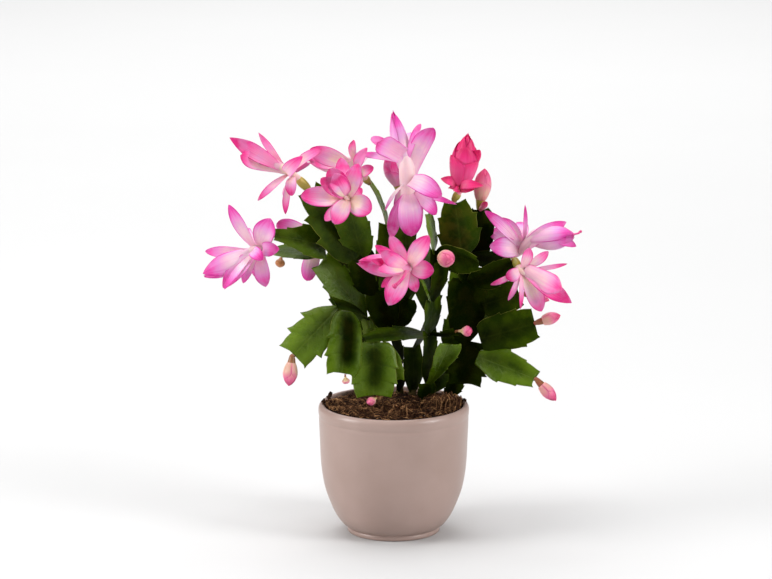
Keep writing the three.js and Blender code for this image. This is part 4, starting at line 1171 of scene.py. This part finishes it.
BLOOMS = {
    "bloom_upper_left": dict(
        on=("stem_middle", "left_blade"),
        throat=at(-78, 290, -2), mouth=at(-89, 297, -8), nose=at(-118, 311, -14),
        radius=8, turn=60, rounds=BEAK, ovary=1.15,
        petals=[
            (0.9, at(-130, 321, -24), 13, 0.1, dict(tone=0.72, point=0.9, twist=1)),
            (0.7, at(-121, 307, -34), 15, 0.14, dict(tone=0.14, point=0.7, twist=1)),
            (0.9, at(-119, 313, -12), 12, 0.1), (0.7, at(-107, 325, 0), 6, 0.06, dict(tone=0.4, point=0.8)),
            (0.4, at(-108, 270, -20), 6, 0.12), (0.2, at(-86, 259, -12), 6, 0.16),
            (0.1, at(-81, 274, -14), 9, 0.3, dict(point=0.1)), (0.3, at(-72, 306, -24), 11, 0.4),
            (0.3, at(-57, 312, -6), 8, 0.3), (0.1, at(-66, 300, 20), 9, 0.4), (0.1, at(-85, 271, 10), 6, 0.2),
        ],
    ),
    "bloom_left_front": dict(
        on=("stem_middle", "right_blade"),
        throat=at(-35, 271, -24), mouth=at(-38, 273, -34), nose=at(-47, 285, -40),
        radius=5, turn=20, rounds=BEAK, deeper=0.5, point=0.3, tone=0.06,
        petals=[
            (0.4, at(-74, 274, -40), 16, 0.14), (0.2, at(-55, 254, -32), 9, 0.2),
            (0.6, at(-47, 251, -46), 15, 0.16), (0.4, at(-18, 261, -40), 18, 0.2),
            (0.5, at(-28, 300, -44), 14, 0.2), (0.2, at(-42, 305, -30), 13, 0.2, dict(tone=0.3)),
            (0.1, at(-25, 280, -28), 8, 0.2, dict(tone=0.3)),
            (0.9, at(-51, 296, -47), 17, 0.2, dict(tone=0.75, point=0.1, twist=1, base=0.2)),
            (0.9, at(-58, 288, -51), 12, 0.16, dict(tone=0.6, point=0.1, twist=1, cup=-1, base=0.2)),
            (0.95, at(-51, 284, -56), 6, 0.12, dict(tone=-0.1, twist=1, cup=-1, base=0.4)),
            (0.95, at(-47, 292, -54), 13, 0.16, dict(tone=0.65, point=0.1, twist=1, cup=-1.3, base=0.3)),
        ],
    ),
    "bloom_arched": dict(
        on=("stem_middle", "stalk"),
        throat=at(-24, 290, 10), mouth=at(-33, 300, 6), nose=at(-71, 305, 10),
        radius=8, turn=90, tone=0.12,
        petals=[
            (0.6, at(-32, 319, 0), 7, 0.2), (0.5, at(-21, 313, -4), 9, 0.3, dict(tone=0.55)),
            (0.1, at(-16, 297, -2), 9, 0.3, dict(point=0, tone=0.2)), (0.2, at(-28, 280, 0), 7, 0.2),
            (0.5, at(-22, 307, 26), 8, 0.2), (0.3, at(-35, 280, 24), 8, 0.2),
            (0.8, at(-64, 300, 2), 11, 0.12),
            (1, at(-67, 311, -6), 15, 0.14, dict(twist=1, point=0.3)),
        ],
    ),
    "bloom_top": dict(
        on=("stem_middle", "top"),
        throat=at(11, 273, -4), mouth=at(10, 300, -6), nose=at(-1, 343, 6),
        radius=6.8, turn=30, girth=(3.6, 5.4, 6.2), point=0.3, tone=0.18, finish=LILAC_PETAL,
        petals=[
            (1.3, at(-13, 317, -34), 17, 0.12, dict(
                base=0.8, point=0.1, twist=0.8, out=5, tone=0.42, cup=-1.4,
            )),
            (1, at(-18, 321, 8), 9, 0.16, dict(tone=0.9, point=0)),
            (1, at(-28, 307, 4), 6, 0.14, dict(point=0.7, tone=0.5)),
            (0.6, at(31, 329, -16), 17, 0.12, dict(base=0.6, out=2, point=0.4)),
            (1, at(21, 332, 8), 6, 0.24, dict(tone=0.8, point=0)), (1, at(8, 322, 30), 12, 0.3),
            (0.45, at(38, 273, -26), 16, 0.3, dict(base=0.25)),
            (0.1, at(34, 259, -10), 12, 0.3, dict(tone=0.35)),
            (0.1, at(50, 267, -12), 5, 0.1, dict(tone=0.8, point=0.9)),
            (0.12, at(14, 241, -26), 20, 0.3, dict(tone=0.3, point=0.12)),
            # tone 1 makes this petal deep magenta: its own colour, deepened as painted shade where it lies in
            # shadow.
            (0.12, at(-2, 240, -16), 11, 0.25, dict(
                tone=1,
            )), (0.4, at(-7, 262, -16), 3, 0.3, dict(tone=-0.2)),
            (0.12, at(21, 251, 20), 12, 0.3), (0.1, at(2, 258, 16), 11, 0.3),
        ],
    ),
    "bloom_half_open": dict(
        on=("stem_right", "brown"),
        throat=at(52, 278, 3), mouth=at(53, 285, 2), nose=at(59, 325, 0),
        radius=10.5, turn=10, finish=RED_PETAL, rounds=LAYERED, tone=0.58, point=0.75, whole=0.35,
        petals=[
            (0.9, at(68, 311, -8), 12, 0.14), (0.9, at(50, 311, -6), 11, 0.14),
            (0.9, at(57, 313, 14), 12, 0.16), (0.2, at(37, 288, 0), 8, 0.4), (0.2, at(71, 282, -14), 8, 0.35),
            (0, at(44, 281, -8), 5, 0.2), (0.2, at(57, 280, 24), 8, 0.35),
            (0.1, at(47, 278, -12), 6, 0.2, dict(tone=0.2)), (0.1, at(64, 279, -14), 8, 0.2, dict(tone=0.3)),
        ],
    ),
    "bloom_right": dict(
        on=("stem_right", "rear"),
        throat=at(100, 229, 15), mouth=at(116, 244, 4), nose=at(145, 242, -8),
        radius=9.5, turn=70, girth=(2.9, 3.4, 5.4), deeper=0.2, finish=LILAC_PETAL,
        style=[at(143, 243, -8), at(148, 245, -8)], slim=0.6,
        petals=[
            (0.2, at(137, 253, 2), 12, 0.25, dict(base=0.5)), (1, at(145, 233, -8), 9, 0.14),
            (0.2, at(104, 267, 6), 3.6, 0.1, dict(
                tone=0.55,
            )), (0.1, at(72, 262, 4), 10, 0.16, dict(tone=0.4)),
            (0.2, at(83, 256, 12), 13, 0.16), (0, at(76, 233, -2), 17, 0.2), (0, at(76, 246, 26), 13, 0.2),
            (0.2, at(100, 253, 38), 10, 0.2),
        ],
    ),
    "bloom_lower_right": dict(
        on=("stem_right", "east"),
        throat=at(100, 215, -11), mouth=at(104, 211, -14), nose=at(109, 206, -17),
        radius=5, turn=100, rounds=(),
        petals=[
            (0.7, at(134, 197, -38), 17, 0.1, dict(point=1, twist=1, tone=0.36, base=0.45, out=3.4)),
            (0.8, at(142, 187, -24), 14, 0.1, dict(point=0.9, twist=1, tone=0.7)),
            (0.3, at(108, 232, -12), 9, 0.12), (0.3, at(123, 229, -6), 8, 0.12),
            (0.5, at(138, 219, 0), 4, 0.06, dict(tone=0.4)),
            (0.5, at(118, 180, -14), 14, 0.14, dict(tone=0.08)),
            (0.3, at(101, 182, -24), 4, 0.1, dict(
                tone=0.4,
            )), (0.2, at(91, 189, -20), 5, 0.14, dict(tone=0.4)),
            (0.1, at(77, 202, -16), 5, 0.14, dict(tone=0.5)), (0.1, at(89, 208, -18), 11, 0.3),
            (0.4, at(121, 209, 16), 10, 0.2),
        ],
    ),
    "bloom_front": dict(
        on=("stem_main", "crest"),
        throat=at(14, 215, -34), mouth=at(9, 216, -44), nose=at(-30, 220, -62),
        radius=8.5, turn=0, tone=0.38, deeper=0.25,
        petals=[
            (0.8, at(-11, 230, -70), 13, 0.16, dict(tone=0.45)),
            (0.9, at(-13, 214, -72), 10, 0.12, dict(
                tone=0,
            )), (0.9, at(-18, 222, -69), 8, 0.1, dict(tone=0.95)),
            (0.3, at(-15, 234, -44), 9, 0.14, dict(
                tone=0.5,
            )), (0.2, at(-3, 242, -38), 11, 0.2, dict(tone=0.5)),
            (0.5, at(28, 242, -54), 15, 0.14, dict(tone=0.2)),
            (0.4, at(32, 213, -48), 15, 0.18, dict(tone=0.45)), (0.3, at(18, 196, -48), 10, 0.2),
            (0.6, at(-4, 185, -60), 17, 0.14), (0.3, at(-10, 200, -48), 9, 0.16, dict(tone=0.45)),
        ],
        style=[at(7, 207, -62), at(1, 201, -70)],
    ),
    "bloom_left": dict(
        on=("stem_left", "point"),
        throat=at(-104, 232, -20), mouth=at(-113, 229, -28), nose=at(-152, 209, -45),
        radius=10.5, turn=40, rounds=BEAK, tone=0.14, girth=(2.6, 3.2, 4), finish=LILAC_PETAL,
        petals=[
            (0.9, at(-152, 211, -46), 17, 0.2, dict(twist=1, point=0.7, base=0.4, out=4, tone=0.2, cup=-1)),
            (0.8, at(-151, 208, -36), 15, 0.16, dict(twist=1, point=0.7, base=0.4, tone=0.2, cup=-1)),
            (0.9, at(-150, 229, -22), 9, 0.14), (0.6, at(-131, 267, -30), 10, 0.1),
            (0.6, at(-136, 199, -50), 14, 0.14, dict(tone=0.3)),
            (0.6, at(-135, 198, -55), 6, 0.12, dict(tone=0.1)),
            (0.6, at(-134, 207, -40), 9, 0.12, dict(tone=0.3)),
            (0.5, at(-120, 203, -42), 9, 0.12, dict(tone=0)),
            (0.9, at(-104, 222, -44), 10, 0.3, dict(tone=0.5, twist=1, point=0.2)),
            (0.2, at(-102, 200, -30), 13, 0.2, dict(tone=0.3)),
            (0.2, at(-110, 208, -14), 7, 0.2, dict(tone=0.5)),
            (0.2, at(-98, 256, -30), 18, 0.2, dict(tone=0.2)),
            (0.1, at(-91, 231, -34), 12, 0.3, dict(tone=0.6)), (0.3, at(-117, 246, -2), 10, 0.2),
        ],
    ),
    "bloom_rear_left": dict(
        on=("stem_middle", "hidden"),
        throat=at(-56, 236, 32), mouth=at(-64, 240, 40), nose=at(-77, 233, 62),
        radius=7, turn=40, finish=LILAC_PETAL,
        petals=[
            (0.3, at(-93, 252, 34), 15.5, 0.1, dict(tone=0.1, point=0.1)),
            (0.3, at(-69, 205, 30), 14, 0.16, dict(tone=0, point=0.1)), (0.8, at(-87, 233, 48), 9, 0.1),
            (0.4, at(-47, 244, 62), 9, 0.2), (0.4, at(-44, 231, 62), 9, 0.2),
        ],
    ),
    "bloom_back_left": dict(
        on=("stem_far_left", "top"),
        throat=at(-47, 247, 100), mouth=at(-48, 250, 110), nose=at(-51, 259, 144),
        radius=8, turn=15, twist=0,
        petals=[
            (0.3, at(-66, 259, 108), 12, 0.16), (0.2, at(-59, 229, 108), 12, 0.16),
            (0.3, at(-39, 224, 112), 12, 0.16), (0.2, at(-25, 243, 106), 12, 0.16),
            (0.3, at(-32, 271, 110), 12, 0.16), (0.2, at(-52, 275, 106), 11, 0.16),
        ],
    ),
    "bloom_back_middle": dict(
        on=("stem_back", "top"),
        throat=at(14, 232, 112), mouth=at(14, 230, 122), nose=at(10, 225, 151),
        radius=8, turn=35, twist=0,
        petals=[
            (0.3, at(-6, 220, 120), 12, 0.16), (0.2, at(0, 199, 114), 12, 0.16),
            (0.3, at(17, 195, 120), 12, 0.16), (0.2, at(30, 212, 116), 11, 0.16),
            (0.3, at(26, 233, 118), 10, 0.16), (0.2, at(7, 240, 114), 11, 0.16),
        ],
    ),
    "bloom_back_right": dict(
        on=("stem_far_right", "reach"),
        throat=at(92, 174, 92), mouth=at(94, 174, 102), nose=at(96, 175, 134),
        radius=7.5, turn=15, twist=0,
        petals=[
            (0.3, at(78, 188, 100), 11, 0.16), (0.2, at(95, 194, 98), 11, 0.16),
            (0.3, at(101, 180, 104), 10, 0.16), (0.2, at(104, 161, 98), 11, 0.16),
            (0.3, at(87, 155, 102), 11, 0.16), (0.2, at(75, 170, 98), 11, 0.16),
        ],
    ),
}

BUDS = {
    "bud_lower_left": dict(
        on=("stem_left", "fan"), tip=at(-84, 119, -30), radius=5.6, tone=0.22, low=0.2, ripe=0.8,
    ),
    "bud_small_left": dict(
        on=("stem_left", "drop"), shift=-0.2, tip=at(-38, 121, -40), radius=2.7, form=BALL, tone=-0.1,
        ripe=0.8,
    ),
    "bud_apron": dict(
        on=("stem_main", "apron"), shift=-0.15, tip=at(-20, 105, -36), radius=3.1, form=BALL, tone=-0.32,
        ripe=0.8,
    ),
    "bud_middle": dict(on=("stem_main", "next"), tip=at(45, 223, -40), radius=6.6, tone=-0.1, ripe=0.7),
    "bud_peg": dict(on=("stem_main", "peg"), tip=at(62, 164, -12), radius=3.9, form=BALL, tone=0, ripe=1),
    "bud_right": dict(
        on=("stem_right", "broad"), tip=at(133, 177, -4), radius=4.6, tone=0.3, low=0.28, ripe=1,
    ),
    "bud_right_rear": dict(
        on=("stem_right", "wing"), tip=at(124, 189, 10), radius=3.6, tone=0.2, low=0.28, ripe=0.9,
    ),
    "bud_lower_right": dict(
        on=("stem_right", "low_wing"), tip=at(130, 107, -20), radius=4.8, tone=0.38, low=0.26, ripe=0.9,
    ),
    "bud_tan": dict(
        on=("stem_left", "reach"), side=-1, tip=at(-91, 216, -2), radius=4.3, form=PLUMP, tan=True,
    ),
    "bud_tall": dict(
        on=("stem_right", "dark"), tip=at(72, 296, 14), radius=6.8, tone=0.3, low=0.22, ripe=0,
        twin=(at(74, 269, 6), 2.6),
    ),
    "bud_red": dict(
        on=("stem_middle", "behind"), tip=at(-5, 306, 20), radius=6.6, tone=0.55, low=0.2, ripe=0,
        finish=PETAL,
    ),
    "bud_back_right": dict(on=("stem_far_right", "top"), tip=at(51, 259, 112), radius=5),
    "bud_back_left": dict(on=("stem_far_left", "fall"), tip=at(-25, 188, 124), radius=4.6),
}

# The object

make_pot()
make_soil()
stems = {name: make_stem(name, root, parts) for name, (root, parts) in STEMS.items()}
for name, how in BLOOMS.items():
    make_bloom(name, stems, **how)
for name, how in BUDS.items():
    make_bud(name, stems, **how)

# Floor, light and camera, in metres

FLOOR_REACH = 9  # from the middle to each side
FLOOR_GREYS = ((0.6, 0.6, 0.6), (0.62, 0.62, 0.62))


def make_floor():
    """A wide pale floor that ends beyond the picture."""
    bm = bmesh.new()
    bmesh.ops.create_grid(bm, x_segments=8, y_segments=8, size=FLOOR_REACH)
    mesh = bpy.data.meshes.new("floor")
    bm.to_mesh(mesh)
    bm.free()
    floor = bpy.data.objects.new("floor", mesh)
    bpy.context.scene.collection.objects.link(floor)
    material, tree, shader = finish_of("pale_floor", 0.85, 0.15)
    colour = blend(tree, mottled(tree, 400.0, 3.0)["Patches"], *FLOOR_GREYS)
    tree.links.new(colour, shader.inputs["Base Color"])
    mesh.materials.append(material)


# Soft boxes: name, place, what it is aimed at, width and height, and power in watts
LIGHTS = [
    ("softbox_left", (-2.05, -0.6, 1.0), (0, 0, 0.15), (1.0, 1.3), 42),
    ("softbox_right", (1.95, -0.95, 1.1), (0, 0, 0.15), (0.8, 1.1), 36),
    ("softbox_top", (-0.2, 0.2, 2.2), (0, 0, 0.2), (1.6, 1.6), 38),
    ("softbox_front", (-0.3, -3.2, 2.0), (0, 0, 0.2), (1.2, 1.2), 8),
    ("softbox_floor", (0, 2.6, 2.4), (0, 3.4, 0), (4.0, 2.0), 105),
]


def area_light(name, place, aim, size, power):
    """A white soft box."""
    data = bpy.data.lights.new(name, "AREA")
    data.shape, data.size, data.size_y, data.energy = "RECTANGLE", *size, power
    light = bpy.data.objects.new(name, data)
    bpy.context.scene.collection.objects.link(light)
    light.location = place
    light.rotation_euler = (Vector(aim) - Vector(place)).to_track_quat("-Z", "Y").to_euler()


make_floor()
for light in LIGHTS:
    area_light(*light)

WORLD_STRENGTH = 0.2
world = bpy.data.worlds.new("studio")
bpy.context.scene.world = world
world.use_nodes = True
world.node_tree.nodes["Background"].inputs["Color"].default_value = (1, 1, 1, 1)
world.node_tree.nodes["Background"].inputs["Strength"].default_value = WORLD_STRENGTH

FRAME_WIDTH = 772  # of the photograph, in pixels
FOCAL = 4112  # in the same pixels
SENSOR = 36  # millimetres
TILT = 12.27  # degrees that the camera looks down
CAMERA_PLACE = (-0.0062, -3.2, 0.894)
FARTHEST = 30  # that the camera sees
lens = bpy.data.cameras.new("camera")
lens.sensor_width = SENSOR
lens.lens = FOCAL / FRAME_WIDTH * SENSOR
lens.clip_end = FARTHEST
camera = bpy.data.objects.new("camera", lens)
bpy.context.scene.collection.objects.link(camera)
camera.location = CAMERA_PLACE
camera.rotation_euler = (math.radians(90 - TILT), 0, 0)
bpy.context.scene.camera = camera
bpy.context.scene.view_settings.view_transform = "Standard"
